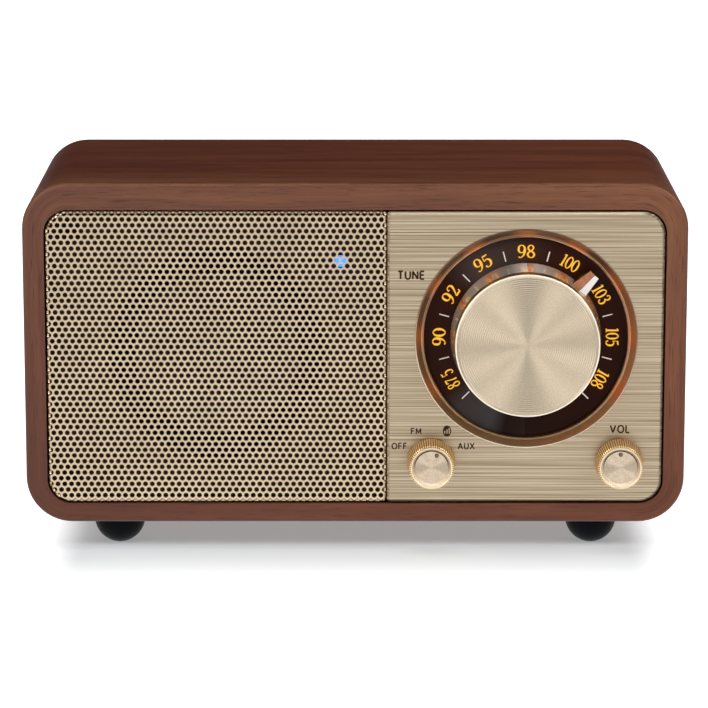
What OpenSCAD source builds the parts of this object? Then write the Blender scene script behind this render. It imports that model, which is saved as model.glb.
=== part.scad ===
// Tabletop radio: a wooden sleeve with a perforated grille, a lit tuning dial and three knobs.
// Millimetres. +X is right, +Z is up and the front faces -Y. The feet stand on z = 0.
// A depth is measured back from the front plane of the cabinet, so what stands proud has a negative one.

/* [Cabinet] */
// Width over the wooden sides
body_w = 180; // [176:1:240]
// Height of the wooden cabinet, without its feet
body_h = 94; // [92:1:130]
// Depth of the wooden cabinet
body_d = 81; // [78:1:110]
// Thickness of the two sides
side_wall = 5.8; // [4.5:0.1:7]
// Thickness of the top
top_wall = 7.2; // [5:0.1:9]
// Thickness of the bottom
bottom_wall = 5.3; // [4.5:0.1:7]
// Outer radius of the four long corners
corner_r = 12.5; // [11:0.5:16]
// Rounding of the front and back edges
edge_r = 1.1; // [0.5:0.1:2]

/* [Feet] */
// Height of the feet under the cabinet
foot_h = 8; // [7.5:0.1:12]
// Radius of a foot's dome
foot_r = 7; // [5:0.1:7.2]
// Distance from the cabinet's side to a foot's centre
foot_in = 24.8; // [18:0.1:40]
// Distance from the cabinet's front or back to a foot's centre
foot_back = 11.7; // [9:0.1:20]

/* [Front] */
// Gap between the wooden opening and what fills it
reveal = 0.5; // [0.3:0.1:1]
// Width of the control panel
panel_w = 75; // [72:0.5:84]
// Thickness of the control panel
panel_t = 2; // [1.5:0.1:2.5]
// Bevel round the control panel
panel_bevel = 0.7; // [0.3:0.1:0.7]
// How far the control panel stands proud of the cabinet
panel_proud = 0.3; // [0:0.1:1]
// Gap between the grille and the control panel
seam = 0.3; // [0.2:0.1:0.8]
// Thickness of the grille's sheet
sheet_t = 0.8; // [0.5:0.1:1]
// Depth of the grille's folded rim
grille_d = 3.6; // [3:0.1:4.5]
// Diameter of the grille's holes
hole_d = 1.6; // [0.8:0.05:1.7]
// Distance between neighbouring holes
hole_pitch = 2.6; // [2.2:0.1:4]

/* [Dial] */
// Outer radius of the bezel
dial_r = 30.2; // [29:0.1:32]
// Height of the dial's axis over the axis of the small knobs
dial_rise = 34.2; // [33:0.1:36]
// Distance from the panel's right edge to the dial's axis
dial_in = 37.3; // [36:0.1:40]
// Width of the bezel's sloping face
bezel_w = 2.2; // [1.8:0.1:2.6]
// Depth of the dial plate behind the control panel
dial_sink = 1.2; // [0.3:0.1:2]
// Thickness of the dial plate
plate_t = 1.2; // [1:0.1:1.5]
// Thickness of the light guide
guide_t = 3; // [2:0.1:3.5]

/* [Tuning knob] */
// Radius of the tuning knob where it meets the dial
tune_r = 20.5; // [18:0.1:21]
// Radius of the tuning knob's front disc
tune_front_r = 19.5; // [17:0.1:20.5]
// Distance of the tuning knob's face in front of the cabinet
tune_reach = 9.7; // [8.5:0.1:14]
// Thickness of the tuning knob's front disc
disc_t = 2.9; // [1.2:0.1:3.5]
// Gap between the pointer's tip and the bezel
pointer_gap = 2; // [1:0.1:4]
// Radius of the tuning shaft
tune_shaft_r = 3; // [2.5:0.1:3.2]

/* [Small knobs] */
// Distance of each small knob from the dial's axis, sideways
knob_out = 25.65; // [24.5:0.05:27]
// Height of the small knobs' axis over the opening's lower edge
knob_rise = 11.8; // [11:0.1:14]
// Radius of a small knob at the panel
small_r = 6.6; // [6.3:0.1:7.5]
// Radius of a small knob at its face
small_front_r = 5.8; // [5.4:0.1:7]
// Length of a small knob
small_len = 7.5; // [7:0.1:11]
// Grooves in a small knob's knurl
knurls = 60; // [36:4:72]
// Radius of a small knob's shaft
small_shaft_r = 2; // [1.8:0.1:2.2]

/* [Loudspeaker] */
// Radius of the loudspeaker's flange
speaker_r = 33; // [31:0.5:36]
// Radius of the opening in front of the cone
cone_hole_r = 29.3; // [28:0.1:30]
// Depth from the flange to the magnet
basket_d = 14; // [12:0.5:20]
// Radius of the voice coil's former
coil_r = 10; // [9:0.1:11]
// Radius of the magnet
magnet_r = 22; // [18:0.5:26]

/* [Back] */
// Thickness of the back cover
cover_t = 3; // [2.5:0.1:4]
// Inner radius of the bass port
port_r = 10; // [8:0.5:12]
// Length of the bass port's tube
port_len = 36; // [20:1:40]
// Radius of the plug that the AUX jack takes, with its clearance
aux_r = 1.8; // [1.75:0.01:1.85]
// Radius of the antenna socket's barrel
antenna_r = 4.75; // [4.5:0.05:5]
// How far the antenna socket stands out behind the cabinet
antenna_out = 6; // [5:0.5:10]

/* [Hidden] */
$fn = 64;

// Clearances
slide_gap = 0.3;   // pieces that drop into each other
shaft_gap = 0.05;  // a shaft in its bush
run_gap = 0.5;     // a knob over what it turns in front of
hole_gap = 0.1;    // a screw or bush in its hole
snug = 0.02;       // pieces that grip each other

// Where the front plane lies, so that the box of the whole radio is centred on y = 0
front_y = (tune_reach - body_d - antenna_out) / 2;

// Colours
walnut = "sienna";
champagne = [0.76, 0.69, 0.6];
copper = [0.66, 0.42, 0.28];
black = [0.08, 0.08, 0.08];
steel = [0.65, 0.65, 0.67];

// Boxes in the front view are [left, right, bottom, top]
function grow(box, by) = [box[0] - by, box[1] + by, box[2] - by, box[3] + by];
body_box = [-body_w / 2, body_w / 2, foot_h, foot_h + body_h];
opening_box = [
  body_box[0] + side_wall, body_box[1] - side_wall, body_box[2] + bottom_wall, body_box[3] - top_wall
];
opening_r = corner_r - side_wall;
slide_box = grow(opening_box, -slide_gap);
filled_box = grow(opening_box, -reveal);
filled_r = opening_r - reveal;
panel_left = filled_box[1] - panel_w;
panel_box = [panel_left, filled_box[1], filled_box[2], filled_box[3]];
grille_box = [filled_box[0], panel_left - seam, filled_box[2], filled_box[3]];
small_corner_r = 0.9; // the grille's and panel's square corners, where they meet

// Axes in the front view
knob_z = opening_box[2] + knob_rise;
dial_x = panel_box[1] - dial_in;
dial_z = knob_z + dial_rise;
mode_x = dial_x - knob_out;
volume_x = dial_x + knob_out;
speaker_x = (grille_box[0] + grille_box[1]) / 2;
speaker_z = (opening_box[2] + opening_box[3]) / 2;

// Depths of the front
panel_face = -panel_proud;
panel_back = panel_face + panel_t;
baffle_t = 2.6;
baffle_back = grille_d + baffle_t;

// Depths of the dial
rim_face = panel_face - 0.5;
bead_face = panel_back - 0.7; // where the bezel's sloping band ends and its bead begins
plate_face = panel_back + dial_sink;
guide_face = plate_face + plate_t;
ledge_face = guide_face + guide_t;
lamp_board_t = 1.2;
lamp_t = 1;
cup_floor = ledge_face + slide_gap + lamp_t + lamp_board_t;
cup_floor_t = 2;
cup_back = cup_floor + cup_floor_t;
bezel_in = dial_r - 0.3 - bezel_w;
spigot_r = dial_r - 0.4; // the bezel's spigot, which fills the panel's hole
cup_r = spigot_r + hole_gap;
ledge_r = cup_r - 1.4;
cup_wall = 2.3;
number_r = dial_r - 6.6; // where the dial's numbers stand, each with a lamp behind it
number_step = 30;        // degrees from one number to the next

// Depths of the tuning knob
tune_base = plate_face - run_gap;
disc_back = disc_t - tune_reach;
tune_bush_r = tune_shaft_r + 0.5;
tune_boss_r = tune_shaft_r + 2.5;
tune_wall = 1.2;
disc_r = tune_front_r + (tune_r - tune_front_r) * disc_t / (tune_base + tune_reach); // at its back
web_t = 1;
pointer_r = bezel_in - pointer_gap; // radius that the pointer's tip reaches

// Depths of a small knob
small_base = panel_face - slide_gap;
small_face = small_base - small_len;
small_recess = 1;
cap_t = 0.6;
cap_r = small_front_r - 0.85;
small_bush_r = small_shaft_r + 1;
nut_t = 1.6;
small_wall = 1.1;
small_hollow = 2.4;
dimple_r = 3.6;

// Depths of the loudspeaker
gasket_t = 0.8;
flange_face = baffle_back + gasket_t;
flange_t = 1;
flange_back = flange_face + flange_t;
plate_top = flange_face + basket_d; // front of the magnet's top plate
top_plate_t = 3;
magnet_t = 8;
back_plate_t = 3;
magnet_back = plate_top + top_plate_t + magnet_t;
ear_r = speaker_r + 4; // radius of the circle through the four screws
coil_gap = 0.35;

// Depths of the back
cover_face = body_d - cover_t;
rabbet = 2.4;
board_t = 1.6;
post_len = 14;
board_back = cover_face - post_len;
board_front = board_back - board_t;
board_box = [dial_x - 30, dial_x + 24, opening_box[2] + 9, opening_box[3] - 6];
jack_z = board_box[2] + 10;
aux_x = board_box[1] - 12.5;
dc_x = board_box[1] - 29;
antenna_x = board_box[0] + 14;
antenna_z = board_box[3] - 16;
port_x = speaker_x;
port_z = opening_box[3] - port_r - 6;

// Places of what repeats
foot_places = [
  for (x = [body_box[0] + foot_in, body_box[1] - foot_in]) for (d = [foot_back, body_d - foot_back]) [x, d]
];
block = 11;
block_d = 12;
baffle_holes = [
  [opening_box[0] + 6.5, opening_box[2] + 6.5], [opening_box[0] + 6.5, opening_box[3] - 6.5],
  [opening_box[1] - 6.5, opening_box[3] - 6.5], [dial_x, opening_box[2] + 5]
];
cover_holes = [
  for (x = [opening_box[0] + 6.5, opening_box[1] - 6.5])
    for (z = [opening_box[2] + 6.5, opening_box[3] - 6.5]) [x, z]
];
board_holes = [
  for (x = [board_box[0] + 3.5, board_box[1] - 3.5])
    for (z = [board_box[2] + 3.5, board_box[3] - 3.5]) [x, z]
];
led_x = panel_left - 12.6;
led_z = opening_box[3] - 14.7;

// --- Helpers -------------------------------------------------------------------------------------

// Draws in the front view: x right, y up and z towards the viewer from the cabinet's front plane.
module front_view()
  translate([0, front_y, 0]) rotate([90, 0, 0]) children();

// A front-view outline as a solid between two depths.
module slab(from, to)
  front_view() translate([0, 0, -to]) linear_extrude(to - from) children();

// A profile of radius and depth, turned about an axis that is square to the front.
module turned(x, z)
  front_view() translate([x, z, 0]) rotate_extrude() mirror([0, 1]) children();

// A round rod, or the cutter for a round hole, square to the front.
module rod(x, z, from, to, r)
  front_view() translate([x, z, -to]) cylinder(h = to - from, r = r);

// A box given by its front-view box and two depths.
module brick(box, from, to)
  translate([box[0], front_y + from, box[2]]) cube([box[1] - box[0], to - from, box[3] - box[2]]);

// A ring, square to the front.
module ring(x, z, from, to, outer, inner)
  difference() {
    rod(x, z, from, to, outer);
    rod(x, z, from - 1, to + 1, inner);
  }

// A rectangle in the front view whose left and right corners have radii of their own.
module outline(box, left_r, right_r) {
  polygon([
    [box[0] + left_r, box[2]], [box[1] - right_r, box[2]], [box[1], box[2] + right_r],
    [box[1], box[3] - right_r], [box[1] - right_r, box[3]], [box[0] + left_r, box[3]],
    [box[0], box[3] - left_r], [box[0], box[2] + left_r]
  ]);
  for (z = [box[2] + left_r, box[3] - left_r])
    if (left_r > 0) translate([box[0] + left_r, z]) circle(left_r);
  for (z = [box[2] + right_r, box[3] - right_r])
    if (right_r > 0) translate([box[1] - right_r, z]) circle(right_r);
}

// The section of a soft-edged block: x is outward and y is depth.
module edge_section(width, deep, front, back, bevel) {
  if (bevel)
    polygon([
      [0, 0], [width - front, 0], [width, front], [width, deep - back], [width - back, deep], [0, deep]
    ]);
  else {
    soft = max(front, back);
    if (width > soft) square([width - soft, deep]);
    translate([width - soft, front]) square([soft, deep - front - back]);
    if (front > 0) translate([width - front, front]) intersection() {
      circle(front);
      translate([0, -front]) square(front);
    }
    if (back > 0) translate([width - back, deep - back]) intersection() {
      circle(back);
      square(back);
    }
  }
}

// A block with rounded or bevelled front and back edges: turned corners, straight bars and a core.
module soft_block(box, left_r, right_r, from, to, front, back, bevel = false) {
  bar = max(left_r, right_r);
  deep = to - from;
  wide = box[1] - box[0] - left_r - right_r;
  corners = [
    [box[1] - right_r, box[3] - right_r, right_r, 0], [box[0] + left_r, box[3] - left_r, left_r, 90],
    [box[0] + left_r, box[2] + left_r, left_r, 180], [box[1] - right_r, box[2] + right_r, right_r, 270]
  ];
  bars = [
    [box[1] - right_r, box[3] - right_r, box[3] - box[2] - 2 * right_r, right_r, 0],
    [box[0] + left_r, box[3] - bar, wide, bar, 90],
    [box[0] + left_r, box[2] + left_r, box[3] - box[2] - 2 * left_r, left_r, 180],
    [box[1] - right_r, box[2] + bar, wide, bar, 270]
  ];
  front_view() translate([0, 0, -from]) {
    for (c = corners)
      translate([c[0], c[1], 0]) rotate(c[3]) rotate_extrude(angle = 90) mirror([0, 1])
        edge_section(c[2], deep, front, back, bevel);
    for (b = bars)
      translate([b[0], b[1], 0]) rotate(b[4]) rotate([90, 0, 0]) linear_extrude(b[2]) mirror([0, 1])
        edge_section(b[3], deep, front, back, bevel);
    translate([box[0] + left_r, box[2] + bar, -deep]) cube([wide, box[3] - box[2] - 2 * bar, deep]);
  }
}

// A screw along the depth: a flat cylinder head with a cross recess, and its shank.
module screw(x, z, head_from, head_t, head_r, shank_to, shank_r, to_back = true) {
  way = to_back ? 1 : -1;
  a = head_from;
  b = head_from + way * head_t;
  difference() {
    union() {
      rod(x, z, min(a, b), max(a, b), head_r);
      rod(x, z, min(b, shank_to), max(b, shank_to), shank_r);
    }
    for (turn = [0, 90])
      front_view() translate([x, z, -a]) rotate(turn)
        translate([-head_r * 0.6, -0.25, -head_t * 0.5]) cube([head_r * 1.2, 0.5, head_t]);
  }
}

// A tube swept along points, with sides that stay square to its route.
module lead(points, r, sides = 8) {
  n = len(points);
  function dir(i) =
    let (v = points[min(i + 1, n - 1)] - points[max(i - 1, 0)]) v / norm(v);
  function side(v) = let (s = cross(v, abs(v[2]) < 0.9 ? [0, 0, 1] : [1, 0, 0])) s / norm(s);
  rings = [
    for (i = [0 : n - 1]) let (v = dir(i), s = side(v), u = cross(s, v))
      for (k = [0 : sides - 1]) points[i] + r * (cos(360 * k / sides) * s + sin(360 * k / sides) * u)
  ];
  walls = [
    for (i = [0 : n - 2]) for (k = [0 : sides - 1])
      [i * sides + k, i * sides + (k + 1) % sides, (i + 1) * sides + (k + 1) % sides, (i + 1) * sides + k]
  ];
  first = [for (k = [sides - 1 : -1 : 0]) k];
  last = [for (k = [0 : sides - 1]) (n - 1) * sides + k];
  polyhedron(rings, concat([first], walls, [last]), convexity = 4);
}

// --- Cabinet and feet ----------------------------------------------------------------------------

module cabinet() color(walnut)
  difference() {
    soft_block(body_box, corner_r, corner_r, 0, body_d, edge_r, edge_r);
    slab(-1, body_d + 1) outline(opening_box, opening_r, opening_r);
    slab(cover_face, body_d + 1) outline(grow(opening_box, rabbet), opening_r + rabbet, opening_r + rabbet);
    for (f = foot_places)
      translate([f[0], front_y + f[1], body_box[2] - 1]) cylinder(h = 5, r = screw_r);
  }

screw_r = 1.5;
foot_flat = 1.9; // radius of the worn flat that a foot stands on

module rubber_feet() color(black)
  for (f = foot_places)
    translate([f[0], front_y + f[1], 0]) difference() {
      union() {
        intersection() {
          translate([0, 0, sqrt(foot_r * foot_r - foot_flat * foot_flat)]) sphere(foot_r);
          cylinder(h = sqrt(foot_r * foot_r - foot_flat * foot_flat), r = foot_r + 1);
        }
        translate([0, 0, sqrt(foot_r * foot_r - foot_flat * foot_flat)])
          cylinder(h = foot_h - sqrt(foot_r * foot_r - foot_flat * foot_flat), r = foot_r);
      }
      translate([0, 0, foot_h - 3.5]) cylinder(h = 4, r = screw_r + hole_gap);
      translate([0, 0, foot_h - 5]) cylinder(h = 1.6, r = 3);
    }

module foot_screws() color(steel)
  for (f = foot_places)
    translate([f[0], front_y + f[1], 0]) {
      translate([0, 0, foot_h - 4.9]) cylinder(h = 1.4, r = 2.9);
      translate([0, 0, foot_h - 4]) cylinder(h = 8, r = screw_r);
    }

// Four squares of wood glued in the sleeve: they clear its round corners.
module blocks(places, from, to)
  difference() {
    slab(from, to) intersection() {
      outline(opening_box, opening_r + 0.6, opening_r + 0.6);
      union() for (p = places) translate([p[0] - block / 2 - 1, p[1] - block / 2 - 1]) square(block + 2);
    }
    for (p = places) rod(p[0], p[1], from - 1, to + 1, 1);
  }

module front_blocks() color("tan") blocks(baffle_holes, baffle_back, baffle_back + block_d);

module rear_blocks() color("tan") blocks(cover_holes, cover_face - block_d, cover_face);

// --- Front ---------------------------------------------------------------------------------------

module front_baffle() color(black)
  difference() {
    union() {
      slab(grille_d, baffle_back)
        outline(slide_box, opening_r - slide_gap, opening_r - slide_gap);
      slab(panel_back, grille_d + 0.1)
        outline([panel_left, slide_box[1], slide_box[2], slide_box[3]], small_corner_r,
          opening_r - slide_gap);
      rod(dial_x, dial_z, baffle_back - 0.1, cup_back, cup_r + cup_wall);
      for (turn = [15 : 30 : 345]) // gussets that brace the dial's cup
        front_view() translate([dial_x, dial_z, -baffle_back]) rotate(turn) rotate([90, 0, 0])
          translate([0, 0, -0.6]) linear_extrude(1.2)
            polygon([
              [cup_r + 1, 0.1], [cup_r + cup_wall + 2.5, 0.1], [cup_r + 1, baffle_back - cup_back + 0.5]
            ]);
    }
    rod(dial_x, dial_z, panel_back - 1, ledge_face, cup_r);
    rod(dial_x, dial_z, ledge_face - 1, cup_floor, ledge_r);
    rod(dial_x, dial_z, cup_floor - 1, cup_back + 1, tune_bush_r + hole_gap);
    turned(speaker_x, speaker_z)
      polygon([
        [0, grille_d - 1], [cone_hole_r + 2.5, grille_d - 1], [cone_hole_r + 1.5, grille_d],
        [cone_hole_r, grille_d + 1.5], [cone_hole_r, baffle_back + 1], [0, baffle_back + 1]
      ]);
    for (x = [mode_x, volume_x]) rod(x, knob_z, panel_back - 1, baffle_back + 1, small_bush_r + hole_gap);
    rod(led_x, led_z, grille_d - 1, baffle_back + 1, led_r + hole_gap);
    for (p = baffle_holes) rod(p[0], p[1], panel_back - 1, baffle_back + 1, screw_r + hole_gap);
    for (p = baffle_holes) rod(p[0], p[1], panel_back - 1, baffle_back - 1.2, 3.2);
    for (a = [45 : 90 : 315])
      rod(speaker_x + ear_r * cos(a), speaker_z + ear_r * sin(a), grille_d - 1, baffle_back + 1, 1);
    slab(cup_floor - 1, cup_back + 1) // the slot that the lamp leads leave by
      translate([dial_x - 3, dial_z - ledge_r + 1]) square([6, 3]);
  }

module baffle_screws() color(steel)
  for (p = baffle_holes) screw(p[0], p[1], baffle_back - 1.2 - 1.4, 1.4, 2.9, baffle_back + 9, 0.95);

// The grille's flat face lies inside the bend that runs all round it.
bend_r = small_corner_r;
face_box = grow(grille_box, -bend_r);
face_r = filled_r - bend_r;
hole_row = hole_pitch * sin(60);
hole_edge = hole_d / 2 + 0.15; // least distance from a hole's centre to the bend
rows = floor(((face_box[3] - face_box[2]) / 2 - hole_edge) / hole_row);
across = ceil((face_box[1] - face_box[0]) / hole_pitch / 2);

// Whether a hole centred at [x, z] keeps inside the flat face, round corners included.
function keeps_inside(x, z) =
  let (dx = face_box[0] + face_r - x, dz = abs(z - speaker_z) - (face_box[3] - speaker_z - face_r))
    x > face_box[0] + hole_edge && x < face_box[1] - hole_edge
      && (dx < 0 || dz < 0 || norm([dx, dz]) < face_r - hole_edge);

// The sheet with its rows of holes, each row half a pitch along from the last.
module perforated_sheet()
  difference() {
    outline(face_box, face_r, 0);
    for (j = [-rows : rows]) for (i = [-across : across]) {
      x = speaker_x + (i + (j % 2 == 0 ? 0 : 0.5)) * hole_pitch;
      z = speaker_z + j * hole_row;
      if (keeps_inside(x, z)) translate([x, z]) circle(d = hole_d, $fn = 24);
    }
  }

module speaker_grille() color(champagne) {
  difference() {
    soft_block(grille_box, filled_r, bend_r, 0, grille_d, bend_r, 0);
    slab(sheet_t, grille_d + 1) outline(grow(grille_box, -sheet_t), filled_r - sheet_t, bend_r - sheet_t);
    slab(-1, sheet_t + 1) outline(face_box, face_r, 0);
  }
  slab(0, sheet_t) perforated_sheet();
}

module control_panel() color(champagne)
  difference() {
    soft_block(panel_box, small_corner_r, filled_r, panel_face, panel_back, panel_bevel, 0, true);
    rod(dial_x, dial_z, panel_face - 1, panel_back + 1, cup_r);
    for (x = [mode_x, volume_x]) rod(x, knob_z, panel_face - 1, panel_back + 1, small_bush_r + hole_gap);
  }

// --- Dial ----------------------------------------------------------------------------------------

// A turned ring: a chamfered rim, a band that slopes in, a groove, a bead and a spigot into the panel.
module dial_bezel() color(copper)
  turned(dial_x, dial_z)
    polygon([
      [dial_r, panel_face], [dial_r, rim_face + 0.3], [dial_r - 0.3, rim_face],
      [bezel_in + 0.75, bead_face], [bezel_in + 0.75, bead_face + 0.3], [bezel_in + 0.6, bead_face + 0.3],
      [bezel_in + 0.45, bead_face + 0.05], [bezel_in + 0.15, bead_face + 0.2], [bezel_in, bead_face + 0.5],
      [bezel_in, plate_face], [spigot_r, plate_face], [spigot_r, panel_face]
    ]);

module dial_plate() color([0.16, 0.06, 0.03])
  ring(dial_x, dial_z, plate_face, guide_face, cup_r - 0.2, tune_bush_r + 1);

module dial_light_guide() color([0.9, 0.85, 0.7])
  ring(dial_x, dial_z, guide_face, ledge_face, cup_r - 0.2, tune_bush_r + 3);

module dial_lamp_board() color("darkgreen")
  difference() {
    ring(dial_x, dial_z, cup_floor - lamp_board_t, cup_floor, ledge_r - 0.4, tune_bush_r + 5);
    slab(cup_floor - lamp_board_t - 1, cup_floor + 1)
      translate([dial_x - 3.5, dial_z - ledge_r]) square([7, 4.2]);
  }

module dial_lamps() color("gold")
  for (a = [-4 : 4])
    front_view() translate([dial_x, dial_z, lamp_board_t - cup_floor]) rotate(-number_step * a)
      translate([-1.1, number_r - 0.8, 0]) cube([2.2, 1.6, lamp_t]);

// --- Controls ------------------------------------------------------------------------------------

// A rotary control: a round can, a bush for its shaft and three legs.
module control(x, z, from, can_r, can_d, bush_r, bush_from, shaft_r, shaft_to) {
  difference() {
    union() {
      rod(x, z, from, from + can_d, can_r);
      rod(x, z, bush_from, from + 0.1, bush_r);
      for (dx = [-4, 0, 4])
        brick([x + dx - 0.6, x + dx + 0.6, z - can_r - 3, z - can_r + 1.5], from + 3, from + 3.5);
    }
    rod(x, z, bush_from - 1, shaft_to + 0.3, shaft_r + shaft_gap);
  }
}

// A hexagon nut on a bush, with its axis along the depth.
module nut(x, z, from, to, flats, r)
  difference() {
    front_view() translate([x, z, -to]) cylinder(h = to - from, r = flats / 2 / cos(30), $fn = 6);
    rod(x, z, from - 1, to + 1, r);
  }

// The shaft's flat keys it to its knob.
module keyed_shaft(x, z, from, to, r, flat_to)
  difference() {
    rod(x, z, from, to, r);
    slab(from - 1, flat_to) translate([x - r, z - r - 0.6 * r]) square([2 * r, 0.9 * r]);
  }

can_d = 8;
can_r = 8;
tune_can_r = 9;

module tuning_control() color(steel)
  control(dial_x, dial_z, cup_back, tune_can_r, can_d, tune_bush_r, guide_face + 1, tune_shaft_r,
    cup_back + 5);

module tuning_nut() color(steel)
  nut(dial_x, dial_z, cup_floor - 2, cup_floor, 11, tune_bush_r + snug);

module tuning_shaft() color(steel)
  keyed_shaft(dial_x, dial_z, disc_back + 2.8, cup_back + 5, tune_shaft_r, guide_face - 1);

module tuning_knob() color(copper)
  difference() {
    union() {
      turned(dial_x, dial_z)
        polygon([
          [0, disc_back], [disc_r - 0.05, disc_back], [tune_r, tune_base], [tune_r - tune_wall, tune_base],
          [disc_r - tune_wall - 0.05, disc_back + 1.8], [0, disc_back + 1.8]
        ]);
      rod(dial_x, dial_z, disc_back + 1, plate_face - 1, tune_boss_r);
      for (turn = [0 : 60 : 300]) // webs between the boss and the skirt
        front_view() translate([dial_x, dial_z, 0]) rotate(turn)
          translate([tune_boss_r - 1, -web_t / 2, 2 - plate_face])
            cube([disc_r - tune_boss_r + 0.6, web_t, plate_face - disc_back - 2.5]);
    }
    slab(disc_back + 2.8, plate_face)
      translate([dial_x, dial_z]) keyed_hole(tune_shaft_r);
  }

// The hole that a keyed shaft fills.
module keyed_hole(r)
  difference() {
    circle(r + snug);
    translate([-r - 1, -1.6 * r]) square([2 * r + 2, 0.9 * r - snug]);
  }

// A thick spun disc with a rounded edge.
module tuning_disc() color(champagne)
  turned(dial_x, dial_z)
    polygon([
      [0, -tune_reach], [tune_front_r - 0.4, -tune_reach], [tune_front_r - 0.12, 0.12 - tune_reach],
      [tune_front_r, 0.4 - tune_reach], [disc_r, disc_back], [0, disc_back]
    ]);

// A roof-shaped wedge that narrows from the knob's side to its tip.
module tuning_pointer() color("whitesmoke")
  difference() {
    front_view() translate([dial_x, dial_z, 0]) rotate(45) hull() {
      translate([tune_front_r - 2, 0, 0]) pointer_end(5.4);
      translate([pointer_r - pointer_tip, 0, 0]) pointer_end(3);
    }
    turned(dial_x, dial_z)
      polygon([
        [0, disc_back - 1], [disc_r - 0.03, disc_back - 1], [disc_r - 0.03, disc_back],
        [tune_r + 0.02, tune_base], [tune_r + 0.02, tune_base + 1], [0, tune_base + 1]
      ]);
  }

pointer_base = 0.2;  // how far the pointer's base lies in front of the cabinet
pointer_side = 2.6;  // height of its two edges
pointer_rise = 0.62; // how steeply its two faces rise to the ridge
pointer_tip = 0.6;   // length of its flat end

// One end of the pointer: a base and a ridge.
module pointer_end(wide)
  rotate([90, 0, 90]) linear_extrude(pointer_tip)
    polygon([
      [-wide / 2, pointer_base], [wide / 2, pointer_base], [wide / 2, pointer_side],
      [0, pointer_side + pointer_rise * wide / 2], [-wide / 2, pointer_side]
    ]);

module mode_switch() color(steel)
  control(mode_x, knob_z, baffle_back, can_r, can_d, small_bush_r, panel_face - nut_t - 0.2,
    small_shaft_r, baffle_back + 5);

module volume_control() color(steel)
  control(volume_x, knob_z, baffle_back, can_r, can_d, small_bush_r, panel_face - nut_t - 0.2,
    small_shaft_r, baffle_back + 5);

module small_nuts() color(steel)
  for (x = [mode_x, volume_x]) nut(x, knob_z, panel_face - nut_t, panel_face, 8, small_bush_r + snug);

module small_shaft(x)
  keyed_shaft(x, knob_z, small_face + small_recess + cap_t + 0.7, baffle_back + 5, small_shaft_r,
    small_base - small_hollow);

collar = 1.8;      // depth of a small knob's polished collar
skirt_at = 2.3;    // where its skirt starts, behind its face
skirt_r = small_front_r + 0.3;
knurl_d = 0.4;     // depth of a knurl's groove
knurl_half = 0.28; // half its width, measured just outside the skirt
knurl_over = 0.05; // how far outside

// A small knob: a knurled skirt that tapers to a polished rim, hollow behind to clear its nut.
module small_knob(x) {
  slope = atan((small_r - skirt_r) / (small_len - skirt_at - 0.3));
  seat = small_face + small_recess + cap_t;
  difference() {
    turned(x, knob_z)
      polygon([
        [0, seat], [cap_r + 0.05, seat], [cap_r + 0.05, small_face + 0.2], [cap_r + 0.25, small_face],
        [small_front_r - 0.3, small_face], [small_front_r, small_face + 0.3],
        [small_front_r + 0.1, small_face + collar], [small_front_r - 0.15, small_face + collar + 0.1],
        [small_front_r - 0.15, small_face + collar + 0.3], [skirt_r, small_face + skirt_at],
        [small_r, small_base - 0.3], [small_r - 0.2, small_base],
        [small_r - small_wall, small_base], [small_r - small_wall, small_base - small_hollow],
        [0, small_base - small_hollow]
      ]);
    slab(seat + 0.7, small_base) translate([x, knob_z]) keyed_hole(small_shaft_r);
    for (k = [0 : knurls - 1]) // V grooves that follow the skirt's slope
      front_view() translate([x, knob_z, 0]) rotate(360 * k / knurls)
        translate([small_r, 0, 0.3 - small_base]) rotate([0, -slope, 0])
          linear_extrude(small_len - skirt_at - 0.1)
            polygon([[-knurl_d, 0], [knurl_over, -knurl_half], [knurl_over, knurl_half]]);
  }
}

// The spun cap in a small knob's face, with a dimple that shows where it points.
module small_cap(x, points_at)
  difference() {
    rod(x, knob_z, small_face + small_recess, small_face + small_recess + cap_t, cap_r);
    front_view() translate([x, knob_z, -small_face - small_recess + 0.35]) rotate(-points_at)
      translate([0, dimple_r, 0]) sphere(0.7);
  }

mode_step = 45;               // degrees between the mode switch's four positions
mode_at = mode_step / 2;      // it points at the third of them
module mode_shaft() color(steel) small_shaft(mode_x);
module mode_knob() color("goldenrod") small_knob(mode_x);
module mode_knob_cap() color(champagne) small_cap(mode_x, mode_at);
module volume_shaft() color(steel) small_shaft(volume_x);
module volume_knob() color("goldenrod") small_knob(volume_x);
module volume_knob_cap() color(champagne) small_cap(volume_x, 0);

// --- Status light --------------------------------------------------------------------------------

led_r = 1.5;
led_face = sheet_t + 0.9;

module status_led() color("deepskyblue") {
  rod(led_x, led_z, led_face + led_r, baffle_back + 1, led_r);
  intersection() {
    front_view() translate([led_x, led_z, -led_face - led_r]) sphere(led_r);
    rod(led_x, led_z, led_face - 1, led_face + led_r, led_r + 1);
  }
  rod(led_x, led_z, baffle_back + 0.4, baffle_back + 1.4, led_r + 0.4);
  for (dx = [-0.6, 0.6]) brick([led_x + dx - 0.25, led_x + dx + 0.25, led_z - 0.25, led_z + 0.25],
    baffle_back + 1.3, baffle_back + 5);
}

module led_clip() color(black)
  difference() {
    rod(led_x, led_z, baffle_back, baffle_back + 2.6, led_r + 1.6);
    rod(led_x, led_z, baffle_back - 1, baffle_back + 1.5, led_r + 0.45);
    rod(led_x, led_z, baffle_back - 1, baffle_back + 3, 1.2);
  }

// --- Loudspeaker ---------------------------------------------------------------------------------

skin = 0.5;                         // thickness of the cone, its surround and its dust cap
roll_r = 2.2;                       // middle radius of the surround's half roll
roll_at = cone_hole_r - 4.2;        // radius at which the roll runs
cone_r = roll_at - roll_r - skin / 2 - slide_gap;
neck = plate_top - 5;               // depth at which the cone meets its coil's former
coil_in = coil_r - 0.2;             // inner radius of the former
coil_out = coil_r + 0.2;            // outer radius of the winding
basket_floor = plate_top - 1.2;     // depth of the basket's floor

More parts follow.
